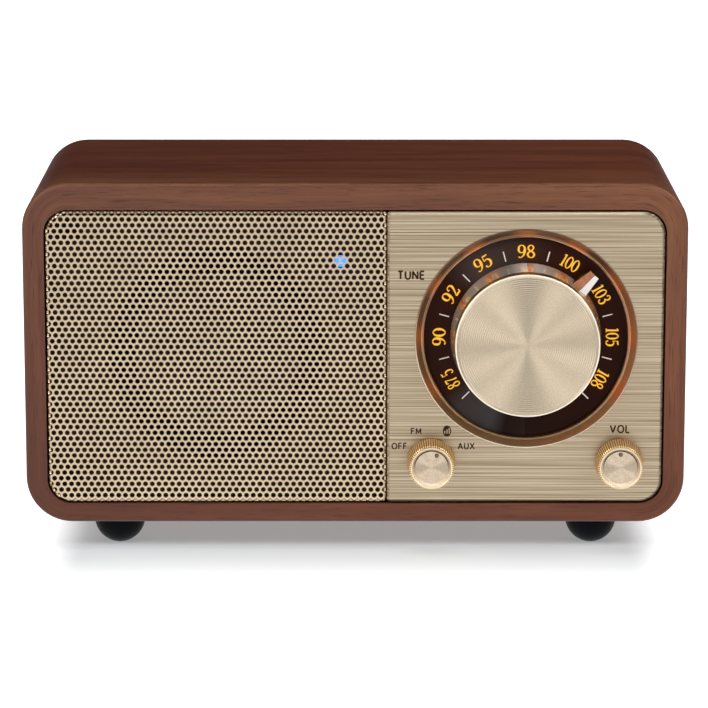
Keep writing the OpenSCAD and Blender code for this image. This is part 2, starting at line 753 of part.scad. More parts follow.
module speaker_gasket() color(black)
  ring(speaker_x, speaker_z, baffle_back, flange_face, speaker_r, cone_hole_r + 0.2);

// The basket: a flange with four ears, and a windowed cone down to the ring on the top plate.
module speaker_basket() color([0.15, 0.15, 0.16])
  difference() {
    union() {
      rod(speaker_x, speaker_z, flange_face, flange_back, speaker_r);
      for (a = [45 : 90 : 315]) {
        rod(speaker_x + ear_r * cos(a), speaker_z + ear_r * sin(a), flange_face, flange_back, 4);
        front_view() translate([speaker_x, speaker_z, -flange_back]) rotate(a)
          translate([speaker_r - 4, -4, 0]) cube([8, 8, flange_t]);
      }
      turned(speaker_x, speaker_z)
        polygon([
          [speaker_r - 4.5, flange_back - 0.1], [speaker_r - 3, flange_back - 0.1],
          [magnet_r - 3, basket_floor], [magnet_r - 3, plate_top], [coil_r + 3, plate_top],
          [coil_r + 3, basket_floor], [magnet_r - 4.5, basket_floor]
        ]);
    }
    rod(speaker_x, speaker_z, flange_face - 1, flange_back + 1, cone_hole_r - 1.6);
    for (a = [0 : 90 : 270]) // windows
      front_view() translate([speaker_x, speaker_z, 1.6 - plate_top]) rotate(a)
        translate([magnet_r - 6, -9, 0]) cube([20, 18, plate_top - flange_back - 2.6]);
    for (a = [45 : 90 : 315])
      rod(speaker_x + ear_r * cos(a), speaker_z + ear_r * sin(a), flange_face - 1, flange_back + 1, 1.6);
  }

// The surround: a lip on the flange and a half roll that ends beside the cone's edge.
module speaker_surround() color(black)
  turned(speaker_x, speaker_z) difference() {
    union() {
      translate([roll_at, flange_face]) circle(roll_r + skin / 2);
      translate([roll_at, flange_face - skin]) square([cone_hole_r - hole_gap - roll_at, skin]);
    }
    translate([roll_at, flange_face]) circle(roll_r - skin / 2);
    translate([roll_at - 5, flange_face]) square([10, 5]);
  }

module speaker_cone() color([0.2, 0.2, 0.2])
  turned(speaker_x, speaker_z)
    polygon([
      [cone_r, flange_face - 0.3], [cone_r - skin, flange_face - 0.3], [coil_r + snug, neck],
      [coil_r + snug, neck + skin + 0.4], [cone_r, flange_face + skin + 0.2]
    ]);

module dust_cap() color([0.12, 0.12, 0.12]) {
  rise = 3.5;
  ball = (coil_r * coil_r + rise * rise) / 2 / rise;
  turned(speaker_x, speaker_z) intersection() {
    difference() {
      translate([0, neck - rise + ball]) circle(ball);
      translate([0, neck - rise + ball]) circle(ball - skin);
    }
    translate([0, neck - rise - 1]) square([coil_r, rise + 1]);
  }
}

module voice_coil() color([0.7, 0.45, 0.2]) {
  ring(speaker_x, speaker_z, neck, plate_top + top_plate_t + 1.5, coil_r, coil_in);
  ring(speaker_x, speaker_z, plate_top - 0.8, plate_top + top_plate_t + 0.8, coil_out, coil_in + 0.1);
}

// The spider: a corrugated disc that stands on the basket's floor round the coil.
module speaker_spider() color("peru") {
  folds = 7;
  inner = coil_out + slide_gap;
  half = (magnet_r - 6 - inner) / folds;
  ridge = [
    for (i = [0 : folds]) [inner + i * half, i % 2 == 0 ? 0 : 0.8],
    [inner + folds * half + 1.4, 0.8]
  ];
  turned(speaker_x, speaker_z) translate([0, basket_floor - 1.1])
    polygon(concat(ridge, [for (i = [len(ridge) - 1 : -1 : 0]) ridge[i] + [0, 0.3]]));
}

module top_plate() color(steel)
  ring(speaker_x, speaker_z, plate_top, plate_top + top_plate_t, magnet_r - 1, coil_out + coil_gap);

module magnet() color([0.22, 0.22, 0.24])
  ring(speaker_x, speaker_z, plate_top + top_plate_t, magnet_back, magnet_r, coil_r + 2.5);

module back_plate() color(steel) {
  rod(speaker_x, speaker_z, magnet_back, magnet_back + back_plate_t, magnet_r - 1);
  rod(speaker_x, speaker_z, plate_top, magnet_back + 0.1, coil_in - coil_gap);
}

module speaker_terminals() color([0.5, 0.35, 0.15]) {
  brick([speaker_x - 7, speaker_x + 7, speaker_z + speaker_r - 1, speaker_z + speaker_r + 5],
    flange_back, flange_back + 1.2);
  for (dx = [-4.5, 4.5])
    brick([speaker_x + dx - 1, speaker_x + dx + 1, speaker_z + speaker_r, speaker_z + speaker_r + 4],
      flange_back + 1.2, flange_back + 5);
}

module speaker_screws() color(steel)
  for (a = [45 : 90 : 315])
    screw(speaker_x + ear_r * cos(a), speaker_z + ear_r * sin(a), flange_back + 1.6, 1.6, 2.8,
      grille_d + 0.6, 0.95, false);

// --- Electronics ---------------------------------------------------------------------------------

module main_board() color("darkgreen")
  difference() {
    brick(board_box, board_front, board_back);
    for (p = board_holes) rod(p[0], p[1], board_front - 1, board_back + 1, screw_r);
  }

module tuner_can() color(steel)
  brick([board_box[0] + 4, board_box[0] + 24, board_box[3] - 32, board_box[3] - 10],
    board_front - 6, board_front);

module capacitors() color([0.1, 0.15, 0.3]) {
  for (i = [0 : 2])
    rod(board_box[1] - 9, board_box[3] - 14 - 11 * i, board_front - 12, board_front, 4);
  rod(board_box[1] - 20, board_box[3] - 16, board_front - 9, board_front, 3.2);
}

module amplifier() color(black) {
  brick([dial_x - 10, dial_x + 4, jack_z + 6, jack_z + 14], board_front - 2.2, board_front);
  for (i = [0 : 6])
    brick([dial_x - 9.5 + 2 * i, dial_x - 8.5 + 2 * i, jack_z + 7, jack_z + 13],
      board_front - 5, board_front - 2.2);
}

module board_screws() color(steel)
  for (p = board_holes) screw(p[0], p[1], board_front - 1.4, 1.4, 2.6, board_back + 8, 0.95);

battery_r = 9.2;
battery_len = 65;
battery_x = speaker_x + 4;
battery_d = cover_face - 3 * battery_r - 1.5;
battery_z = opening_box[2] + 1.5 + battery_r;

module battery_pack() color("steelblue")
  for (i = [0, 1])
    translate([battery_x - battery_len / 2, front_y + battery_d + 2 * i * battery_r, battery_z])
      rotate([0, 90, 0]) {
        cylinder(h = battery_len, r = battery_r);
        translate([0, 0, -0.8]) cylinder(h = battery_len + 1.6, r = battery_r - 3);
      }

// A cradle on the cabinet's floor: a base, two lips and an end stop at each end.
module battery_bracket() color(black)
  difference() {
    x0 = battery_x - battery_len / 2 - 3;
    x1 = battery_x + battery_len / 2 + 3;
    brick([x0, x1, opening_box[2], battery_z - 2], battery_d - battery_r - 2, battery_d + 3 * battery_r + 1);
    for (i = [0, 1])
      translate([x0 + 1.8, front_y + battery_d + 2 * i * battery_r, battery_z]) rotate([0, 90, 0])
        cylinder(h = x1 - x0 - 3.6, r = battery_r + hole_gap);
    brick([x0 + 10, x1 - 10, opening_box[2] - 1, battery_z],
      battery_d - battery_r + 2, battery_d + 3 * battery_r - 3);
  }

// --- Back ----------------------------------------------------------------------------------------

module back_cover() color([0.12, 0.1, 0.1])
  difference() {
    union() {
      slab(cover_face, body_d)
        outline(grow(opening_box, rabbet - slide_gap), opening_r + rabbet - slide_gap,
          opening_r + rabbet - slide_gap);
      for (p = board_holes) rod(p[0], p[1], board_back, cover_face + 0.1, 3);
    }
    for (p = board_holes) rod(p[0], p[1], board_back - 1, board_back + 9, 0.95);
    rod(port_x, port_z, cover_face - 1, body_d + 1, port_r + 1.6 + hole_gap);
    rod(aux_x, jack_z, cover_face - 1, body_d + 1, 4 + hole_gap);
    rod(dc_x, jack_z, cover_face - 1, body_d + 1, 4.5 + hole_gap);
    rod(antenna_x, antenna_z, cover_face - 1, body_d + 1, antenna_thread_r + hole_gap);
    for (p = cover_holes) rod(p[0], p[1], cover_face - 1, body_d + 1, screw_r + hole_gap);
  }

module cover_screws() color(steel)
  for (p = cover_holes) screw(p[0], p[1], body_d + 1.6, 1.6, 2.8, cover_face - 9, 0.95, false);

// The port's tube, with a flange outside and a flare at its mouth.
module bass_port() color(black)
  turned(port_x, port_z)
    polygon([
      [port_r, body_d - port_len], [port_r + 1.6, body_d - port_len], [port_r + 1.6, body_d],
      [port_r + 4.4, body_d], [port_r + 4.4, body_d + 0.8], [port_r + 3.9, body_d + 1.3],
      [port_r + 2, body_d + 1.3], [port_r + 0.6, body_d + 0.2], [port_r, body_d - 1.6]
    ]);

jack_out = 0.8; // how far the jacks' noses stand out of the cover

module aux_jack() color(black)
  difference() {
    union() {
      brick([aux_x - 5.5, aux_x + 5.5, jack_z - 5, jack_z + 5], board_back, cover_face);
      rod(aux_x, jack_z, cover_face - 0.1, body_d + jack_out, 4);
    }
    rod(aux_x, jack_z, board_back + 2, body_d + jack_out + 1, aux_r);
  }

module dc_inlet() color(black) {
  difference() {
    union() {
      brick([dc_x - 5.5, dc_x + 5.5, jack_z - 5, jack_z + 5], board_back, cover_face);
      rod(dc_x, jack_z, cover_face - 0.1, body_d + jack_out, 4.5);
    }
    rod(dc_x, jack_z, cover_face - 6, body_d + jack_out + 1, 2.8);
  }
  rod(dc_x, jack_z, cover_face - 7, body_d - 0.6, 1.05);
}

antenna_thread_r = antenna_r + 0.35;
antenna_nut_t = 2;

module antenna_socket() color(steel)
  difference() {
    union() {
      front_view() translate([antenna_x, antenna_z, -cover_face]) cylinder(h = 2.4, r = 6.6, $fn = 6);
      rod(antenna_x, antenna_z, board_back, cover_face - 2, antenna_r - 0.7);
      rod(antenna_x, antenna_z, cover_face - 0.1, body_d + antenna_nut_t, antenna_thread_r);
      rod(antenna_x, antenna_z, body_d, body_d + antenna_out, antenna_r);
    }
    rod(antenna_x, antenna_z, body_d + antenna_out - 2, body_d + antenna_out + 1, 2.6);
    rod(antenna_x, antenna_z, cover_face, body_d + antenna_out + 1, 0.6);
  }

module antenna_nut() color(steel)
  nut(antenna_x, antenna_z, body_d, body_d + antenna_nut_t, 13, antenna_thread_r + snug);

// --- Leads ---------------------------------------------------------------------------------------

lead_r = 0.6;

// Turns a route given as [x, depth, z] into points, rounded by a smooth blend of its corners.
function place(p) = [p[0], front_y + p[1], p[2]];
function blend(a, b, c, t) = (1 - t) * (1 - t) * a + 2 * t * (1 - t) * b + t * t * c;
function route(stops) =
  let (p = [for (s = stops) place(s)], n = len(p))
    concat(
      [p[0]],
      [
        for (i = [1 : n - 2]) let (a = (p[i - 1] + p[i]) / 2, c = (p[i] + p[i + 1]) / 2)
          for (t = [0 : 0.25 : (i == n - 2 ? 1 : 0.75)]) blend(a, p[i], c, t)
      ],
      [p[n - 1]]
    );

module speaker_leads() color("firebrick")
  for (s = [-1, 1]) {
    x = speaker_x + 4.5 * s;
    z = speaker_z + speaker_r + 2;
    lead(route([
      [x, flange_back + 5, z], [x, flange_back + 12, z], [x + 14, board_front - 18, z - 2 * s],
      [board_box[0] - 4, board_front - 14, board_box[3] - 6 - 1.5 * s],
      [board_box[0] + 12 + s, board_front - 10, board_box[3] - 6 - 1.5 * s],
      [board_box[0] + 12 + s, board_front, board_box[3] - 6 - 1.5 * s]
    ]), lead_r);
  }

module battery_leads() color("firebrick")
  for (i = [0, 1]) {
    x = battery_x + battery_len / 2 + 0.8;
    lead(route([
      [x, battery_d + 3 * i, battery_z + 2], [x + 6, battery_d + 3 * i, battery_z + 2],
      [x + 12, battery_d - 4, battery_z + 2 + 3 * i],
      [board_box[0] + 8, board_front - 12, board_box[2] + 6 + 3 * i],
      [board_box[0] + 9, board_front - 6, board_box[2] + 8 + 3 * i],
      [board_box[0] + 9, board_front, board_box[2] + 8 + 3 * i]
    ]), lead_r);
  }

module lamp_leads() color("goldenrod")
  for (s = [-1, 1]) {
    x = dial_x + 1.2 * s;
    z = dial_z - ledge_r + 2.4;
    lead(route([
      [x, cup_floor - 0.6, z], [x, cup_back + 4, z], [x, cup_back + 14, z - 4],
      [x, board_front - 14, jack_z + 24], [x, board_front - 6, jack_z + 22], [x, board_front, jack_z + 22]
    ]), lead_r);
  }

cabinet();
front_blocks();
rear_blocks();
rubber_feet();
foot_screws();
front_baffle();
baffle_screws();
speaker_grille();
control_panel();
dial_bezel();
dial_plate();
dial_light_guide();
dial_lamp_board();
dial_lamps();
tuning_control();
tuning_nut();
tuning_shaft();
tuning_knob();
tuning_disc();
tuning_pointer();
mode_switch();
mode_shaft();
mode_knob();
mode_knob_cap();
volume_control();
volume_shaft();
volume_knob();
volume_knob_cap();
small_nuts();
status_led();
led_clip();
speaker_gasket();
speaker_basket();
speaker_surround();
speaker_cone();
dust_cap();
voice_coil();
speaker_spider();
top_plate();
magnet();
back_plate();
speaker_terminals();
speaker_screws();
main_board();
tuner_can();
capacitors();
amplifier();
board_screws();
battery_pack();
battery_bracket();
back_cover();
cover_screws();
bass_port();
aux_jack();
dc_inlet();
antenna_socket();
antenna_nut();
speaker_leads();
battery_leads();
lamp_leads();
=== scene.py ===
"""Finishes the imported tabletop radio: camera, studio, materials and the fine work on its front."""

import math

import bmesh
import bpy
from mathutils import Matrix, Vector


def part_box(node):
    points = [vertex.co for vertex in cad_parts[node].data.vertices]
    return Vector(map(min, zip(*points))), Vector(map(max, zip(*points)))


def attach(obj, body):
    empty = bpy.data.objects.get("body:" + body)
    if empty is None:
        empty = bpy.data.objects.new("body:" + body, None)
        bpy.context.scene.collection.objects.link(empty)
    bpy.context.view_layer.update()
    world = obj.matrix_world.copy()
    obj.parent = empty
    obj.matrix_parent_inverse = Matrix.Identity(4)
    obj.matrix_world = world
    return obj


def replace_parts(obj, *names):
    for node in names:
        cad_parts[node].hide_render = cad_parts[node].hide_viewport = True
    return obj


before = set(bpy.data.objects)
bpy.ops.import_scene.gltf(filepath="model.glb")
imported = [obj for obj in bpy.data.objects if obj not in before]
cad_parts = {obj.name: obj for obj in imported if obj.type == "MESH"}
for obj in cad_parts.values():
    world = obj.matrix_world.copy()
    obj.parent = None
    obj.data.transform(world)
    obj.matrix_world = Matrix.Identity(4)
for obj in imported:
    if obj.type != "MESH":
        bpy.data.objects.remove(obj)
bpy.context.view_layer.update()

MM = 0.001

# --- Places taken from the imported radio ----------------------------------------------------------

cabinet_low, cabinet_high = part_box("cabinet")
front = cabinet_low.y
grille_low, grille_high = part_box("speaker_grille")
panel_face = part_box("control_panel")[0].y
bezel_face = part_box("dial_bezel")[0].y
plate_low, plate_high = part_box("dial_plate")
disc_low, disc_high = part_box("tuning_disc")
dial = (plate_low + plate_high) / 2
tuner = (disc_low + disc_high) / 2

# --- Mesh helpers --------------------------------------------------------------------------------


def make_piece(name, bm, finish, body, crease=30):
    """Makes a bmesh into a piece of the radio, with edges sharper than the crease angle left hard."""
    bm.normal_update()
    for edge in bm.edges:
        edge.smooth = edge.calc_face_angle(math.pi) < math.radians(crease)
    for face in bm.faces:
        face.smooth = True
    mesh = bpy.data.meshes.new(name)
    bm.to_mesh(mesh)
    bm.free()
    return add_piece(name, mesh, finish, body)


def add_piece(name, mesh, finish, body):
    """Adds a mesh as a piece that rides on a body, with its own finish."""
    mesh.materials.clear()
    mesh.materials.append(finish.material)
    thing = bpy.data.objects.new(name, mesh)
    bpy.context.scene.collection.objects.link(thing)
    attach(thing, body)
    return thing


def spun(profile, centre, steps=192):
    """Spins a closed or pole-to-pole profile of (radius, y) points about an axis square to the front."""
    bm = bmesh.new()
    row = [bm.verts.new((centre.x, y, centre.z + radius)) for radius, y in profile]
    edges = [bm.edges.new(pair) for pair in zip(row, row[1:])]
    if profile[0][0] > 0:
        edges.append(bm.edges.new((row[-1], row[0])))
    bmesh.ops.spin(
        bm, geom=row + edges, cent=centre, axis=(0, 1, 0), angle=2 * math.pi, steps=steps, use_merge=True
    )
    bmesh.ops.remove_doubles(bm, verts=bm.verts, dist=1e-7)
    bmesh.ops.recalc_face_normals(bm, faces=bm.faces)
    return bm


def turned(rows, face, centre, steps=192):
    """Spins a profile of (radius, depth behind a face) points that are given in millimetres."""
    return spun([(radius * MM, face + depth * MM) for radius, depth in rows], centre, steps)


def whole(bm):
    """All the vertices, edges and faces of a bmesh."""
    return bm.verts[:] + bm.edges[:] + bm.faces[:]


# --- Material helpers ----------------------------------------------------------------------------


def linear(red, green, blue):
    """A colour written in 0 to 255 as the linear colour that a shader takes."""
    levels = [c / 255 for c in (red, green, blue)]
    return [c / 12.92 if c < 0.04045 else ((c + 0.055) / 1.055) ** 2.4 for c in levels] + [1]


class Nodes:
    """A node tree that is built node by node."""

    def __init__(self, tree):
        self.tree = tree
        self.nodes = tree.nodes

    def add(self, kind, inputs=None, **settings):
        """Adds a node; each input is a plain value or the socket that feeds it."""
        node = self.nodes.new("ShaderNode" + kind)
        for key, value in settings.items():
            setattr(node, key, value)
        for key, value in (inputs or {}).items():
            if isinstance(value, bpy.types.NodeSocket):
                self.tree.links.new(value, node.inputs[key])
            else:
                node.inputs[key].default_value = value
        return node

    def math(self, operation, a, b=0.0):
        """A sum on plain numbers."""
        return self.add("Math", {0: a, 1: b}, operation=operation).outputs[0]

    def blend(self, first, share, second):
        """Adds a share of one number to the rest of another."""
        rest = self.math("MULTIPLY", second, 1 - share)
        return self.math("ADD", self.math("MULTIPLY", first, share), rest)

    def vector(self, operation, a, b):
        """A sum on vectors or colours."""
        return self.add("VectorMath", {0: a, 1: b}, operation=operation).outputs[0]

    def length(self, x, y):
        """The length of a line that reaches x one way and y the other."""
        line = self.add("CombineXYZ", {0: x, 1: y})
        return self.add("VectorMath", {0: line.outputs[0]}, operation="LENGTH").outputs["Value"]

    def between(self, value, low, high, to_low=0.0, to_high=1.0, **settings):
        """Maps a number from one range to another, and holds it within that."""
        inputs = {"Value": value, "From Min": low, "From Max": high, "To Min": to_low, "To Max": to_high}
        return self.add("MapRange", inputs, **settings).outputs[0]

    def mix(self, factor, first, second):
        """Mixes two colours."""
        return self.add("MixRGB", {"Fac": factor, "Color1": first, "Color2": second}).outputs[0]

    def ramp(self, factor, *stops):
        """A colour ramp from (position, colour) stops."""
        node = self.add("ValToRGB", {"Fac": factor})
        stretch = node.color_ramp.elements
        while len(stretch) < len(stops):
            stretch.new(0.5)
        for element, (position, colour) in zip(stretch, stops):
            element.position = position
            element.color = linear(*colour)
        return node.outputs["Color"]


class Finish(Nodes):
    """A material that is built around one Principled shader."""

    def __init__(self, name, colour, roughness, metallic=0.0, **sockets):
        self.material = bpy.data.materials.new(name)
        self.material.use_nodes = True
        super().__init__(self.material.node_tree)
        self.shader = self.nodes["Principled BSDF"]
        plain = {"Base Color": linear(*colour), "Roughness": roughness, "Metallic": metallic, **sockets}
        for socket, value in plain.items():
            self.shader.inputs[socket].default_value = value

    def feed(self, socket, source):
        """Feeds one of the shader's own sockets."""
        self.tree.links.new(source, self.shader.inputs[socket])

    def light_up(self, colour, strength):
        """Makes the finish glow with a colour of its own."""
        self.shader.inputs["Emission Color"].default_value = linear(*colour)
        self.shader.inputs["Emission Strength"].default_value = strength

    def place(self):
        """The place on the piece, in millimetres."""
        metres = self.add("TexCoord").outputs["Object"]
        return self.add("VectorMath", {0: metres, "Scale": 1 / MM}, operation="SCALE").outputs[0]

    def noise(self, where, stretch, detail=3.0, roughness=0.55):
        """Noise whose features are 1/stretch millimetres along each axis."""
        inputs = {
            "Vector": self.vector("MULTIPLY", where, stretch),
            "Scale": 1.0,
            "Detail": detail,
            "Roughness": roughness,
        }
        return self.add("TexNoise", inputs).outputs["Fac"]

    def spread(self, noise, low, high):
        """Spreads noise over a range of plain numbers."""
        return self.between(noise, 0.3, 0.7, low, high)

    def around(self, middle):
        """The turn clockwise round an axis square to the front, in radians from its top."""
        offset = self.vector("SUBTRACT", self.place(), Vector(middle) / MM)
        split = self.add("SeparateXYZ", {0: offset})
        return self.math("ARCTAN2", split.outputs["X"], split.outputs["Z"])

    def ring_ramp(self, turn, *stops):
        """A colour ramp round an axis: 0 at its foot, up its left side, down its right and back to 1."""
        return self.ramp(self.math("ADD", self.math("DIVIDE", turn, 2 * math.pi), 0.5), *stops)

    def bump(self, height, depth):
        """Feeds a bump whose full height is given in millimetres."""
        node = self.add("Bump", {"Height": height, "Distance": depth * MM, "Strength": 1.0})
        self.feed("Normal", node.outputs[0])


def worn(name, colour, roughness, metallic=0.0, tone=0.08, grain=2.0, depth=0.01, **sockets):
    """A finish with slight mottling, uneven gloss and a fine grain."""
    finish = Finish(name, colour, roughness, metallic, **sockets)
    where = finish.place()
    broad = finish.noise(where, (0.08, 0.08, 0.08))
    fine = finish.noise(where, (grain, grain, grain), detail=2.0)
    darker = [c * (1 - tone) for c in colour]
    lighter = [min(255, c * (1 + tone)) for c in colour]
    finish.feed("Base Color", finish.ramp(broad, (0.3, darker), (0.7, lighter)))
    finish.feed("Roughness", finish.spread(fine, roughness * 0.88, min(1, roughness * 1.12)))
    finish.bump(fine, depth)
    return finish


# --- Wood ----------------------------------------------------------------------------------------

SLEEVE_CORNER = 12.5
# Each is an axis, the millimetres between which the wood's tone changes, and the two tones: partly the
# boards' own tones, partly painted shade, darker towards the bottom, the left and the back where less light
# falls.
WOOD_TONE_AND_SHADE = (
    ("Z", 4, 98, (0.74, 0.55, 0.45), (1.0, 1.03, 1.06)),
    ("X", -88, 88, (0.75, 0.69, 0.73), (1.04, 1.0, 0.92)),
    ("Y", front / MM, front / MM + 24, (1.0, 1.0, 1.0), (0.76, 0.58, 0.62)),
)


def walnut_finish():
    """Satin walnut whose grain runs round the sleeve, as it does in four boards joined at the corners."""
    finish = Finish("walnut", (112, 70, 50), 0.5, IOR=1.42)
    split = finish.add("SeparateXYZ", {0: finish.place()})
    middle = (cabinet_low + cabinet_high) / (2 * MM)
    half = (cabinet_high - cabinet_low) / (2 * MM)
    beyond = []
    for axis in (0, 2):
        offset = finish.math("ABSOLUTE", finish.math("SUBTRACT", split.outputs[axis], middle[axis]))
        beyond.append(finish.math("SUBTRACT", offset, half[axis] - SLEEVE_CORNER))
    radius = finish.length(*[finish.math("MAXIMUM", value, 0.0) for value in beyond])
    inner = finish.math("MINIMUM", finish.math("MAXIMUM", *beyond), 0.0)
    across = finish.math("ADD", radius, inner)
    along = finish.math("SUBTRACT", split.outputs[0], split.outputs[2])
    board = finish.add("CombineXYZ", {0: along, 1: split.outputs[1], 2: across}).outputs[0]
    drift = finish.noise(board, (0.012, 0.05, 0.12), detail=2.0)
    sway = {1: finish.math("MULTIPLY", drift, 6.0), 2: finish.math("MULTIPLY", drift, 3.0)}
    wavy = finish.vector("ADD", board, finish.add("CombineXYZ", sway).outputs[0])
    figure = finish.noise(wavy, (0.014, 0.16, 0.3), detail=4.0, roughness=0.6)
    streaks = finish.noise(wavy, (0.03, 1.1, 1.3))
    pores = finish.noise(board, (0.16, 3.4, 3.4), detail=1.0)
    tone = finish.blend(figure, 0.6, streaks)
    colour = finish.ramp(tone, (0.34, (94, 52, 33)), (0.5, (110, 66, 42)), (0.66, (124, 79, 52)))
    dark_pores = finish.ramp(pores, (0.3, (150, 135, 128)), (0.42, (255, 255, 255)))
    grained = {"Fac": 0.6, "Color1": colour, "Color2": dark_pores}
    colour = finish.add("MixRGB", grained, blend_type="MULTIPLY").outputs[0]
    # Painted shade, partly board tone: the wood darkens towards the bottom, the left and the back of the
    # top.
    for axis, start, stop, low, high in WOOD_TONE_AND_SHADE:
        shade = finish.mix(finish.between(split.outputs[axis], start, stop), (*low, 1), (*high, 1))
        colour = finish.vector("MULTIPLY", colour, shade)
    finish.feed("Base Color", colour)
    finish.feed("Roughness", finish.spread(streaks, 0.44, 0.56))
    finish.bump(finish.blend(pores, 0.7, streaks), 0.03)
    return finish


def block_wood_finish():
    """Pale softwood with its grain along the depth."""
    finish = Finish("block_wood", (190, 150, 100), 0.7)
    rings = finish.noise(finish.place(), (0.7, 0.05, 0.7), detail=4.0)
    finish.feed("Base Color", finish.ramp(rings, (0.35, (160, 118, 72)), (0.65, (206, 170, 120))))
    finish.feed("Roughness", finish.spread(rings, 0.62, 0.8))
    finish.bump(rings, 0.05)
    return finish


# --- Metals --------------------------------------------------------------------------------------


def brushed_finish():
    """Champagne metal brushed from side to side."""
    finish = Finish("champagne_metal", (196, 182, 154), 0.36, 0.85)
    where = finish.place()
    hair = finish.noise(where, (0.014, 1.0, 2.7), detail=1.0, roughness=0.6)
    lines = finish.noise(where, (0.008, 1.0, 1.5), detail=1.0, roughness=0.6)
    tone = finish.blend(hair, 0.8, lines)
    colour = finish.ramp(tone, (0.32, (122, 103, 79)), (0.5, (164, 147, 122)), (0.68, (198, 184, 162)))
    finish.feed("Base Color", colour)
    finish.feed("Roughness", finish.spread(hair, 0.3, 0.44))
    finish.bump(hair, 0.012)
    return finish


def spun_finish(name, colour, roughness, depth, anisotropy):
    """Metal turned on a lathe: fine rings about the piece's own axis, which stretch its highlights."""
    finish = Finish(name, colour, roughness, 1.0, Anisotropic=anisotropy)
    finish.feed("Tangent", finish.add("Tangent", direction_type="RADIAL", axis="Y").outputs[0])
    fine = finish.noise(finish.place(), (3.0, 3.0, 3.0), detail=2.0)
    darker = [c * 0.94 for c in colour]
    lighter = [min(255, c * 1.05) for c in colour]
    finish.feed("Base Color", finish.ramp(fine, (0.35, darker), (0.65, lighter)))
    finish.bump(fine, depth)
    return finish


# The numbers stand twelve to a full turn, and their painted glow ends a little past the last of them.
NUMBER_PATCHES = 12
LAST_NUMBER = math.radians(134)


def painted_number_glow(finish, turn):
    """How much of a lit number's painted glow falls on metal at a turn round the dial: one painted patch for
    each number.
    """
    wave = finish.math("COSINE", finish.math("MULTIPLY", turn, NUMBER_PATCHES))
    patches = finish.math("MULTIPLY", finish.between(wave, -0.1, 1.0), 0.85)
    numbered = finish.math("LESS_THAN", finish.math("ABSOLUTE", turn), LAST_NUMBER)
    return finish.math("MULTIPLY", patches, numbered)


def bezel_finish():
    """Bronze turned smooth, painted lighter and darker round the ring as painted reflections, with a painted
    copper glow beside each number.
    """
    finish = Finish("bronze_ring", (190, 170, 145), 0.36, 1.0)
    turn = finish.around(dial)
    # Painted reflections: lighter on the ring's right and lower left, darker at its foot and top.
    metal = finish.ring_ramp(
        turn,
        (0.0, (160, 136, 106)), (0.14, (182, 156, 124)), (0.3, (160, 134, 108)), (0.5, (166, 138, 114)),
        (0.72, (196, 166, 138)), (0.88, (200, 178, 146)), (1.0, (160, 136, 106))
    )
    # Painted copper reflections of the lit numbers.
    finish.feed("Base Color", finish.mix(painted_number_glow(finish, turn), metal, linear(220, 164, 124)))
    return finish


def wall_finish():
    """The tuning knob's polished wall, with a painted highlight at its top and painted copper streaks where
    the numbers' glow falls on it.
    """
    finish = Finish("rose_metal", (226, 196, 168), 0.2, 0.5)
    turn = finish.around(dial)
    strands = {"W": turn, "Scale": 9.0, "Detail": 3.0}
    fine = finish.add("TexNoise", strands, noise_dimensions="1D").outputs["Fac"]
    # Painted highlight at the top of the wall, with painted shade just left of it.
    pale = finish.ring_ramp(
        turn,
        (0.2, (176, 150, 124)), (0.38, (214, 188, 162)), (0.46, (156, 142, 128)), (0.5, (255, 250, 244)),
        (0.55, (220, 192, 166)), (0.68, (196, 144, 108))
    )
    # Painted copper reflections of the lit numbers, broken into streaks.
    glow = finish.math("MULTIPLY", painted_number_glow(finish, turn), finish.between(fine, 0.42, 0.56))
    finish.feed("Base Color", finish.mix(glow, pale, linear(236, 138, 84)))
    return finish


def edge_finish():
    """The bezel's outer edge, with a painted highlight: pale round its foot, brown round its top."""
    finish = Finish("bezel_edge", (200, 170, 140), 0.45)
    finish.feed("Base Color", finish.ring_ramp(
        finish.around(dial),
        (0.0, (255, 246, 226)), (0.2, (232, 210, 180)), (0.3, (120, 88, 64)), (0.45, (70, 46, 32)),
        (0.6, (96, 66, 48)), (0.74, (120, 90, 66)), (0.86, (226, 200, 170)), (1.0, (255, 246, 226))
    ))
    return finish


def recess_finish(name, axis):
    """The dull wall of a small knob's recess: shaded under the rim's top and bright at its foot."""
    finish = Finish(name, (150, 120, 90), 0.5)
    finish.feed("Base Color", finish.ring_ramp(
        finish.around(axis),
        (0.0, (236, 222, 200)), (0.2, (200, 178, 150)), (0.32, (92, 60, 38)), (0.5, (48, 28, 16)),
        (0.68, (92, 60, 38)), (0.8, (200, 178, 150)), (1.0, (236, 222, 200))
    ))
    return finish


def plate_finish():
    """Smoked lacquer with a soft painted grey sheen, a painted reflection, to the left of its top and its
    foot.
    """
    finish = Finish("dial_plate", (38, 16, 9), 0.3, IOR=1.13)
    finish.feed("Base Color", finish.ring_ramp(
        finish.around(dial),
        (0.0, (44, 27, 21)), (0.035, (32, 18, 13)), (0.06, (66, 62, 63)), (0.12, (62, 54, 52)),
        (0.15, (46, 20, 10)), (0.35, (44, 18, 8)), (0.4, (66, 54, 52)), (0.46, (60, 45, 40)),
        (0.55, (46, 20, 10)), (0.9, (38, 12, 4)), (0.97, (36, 16, 9))
    ))
    return finish


# --- Finishes for the record's slots -------------------------------------------------------------

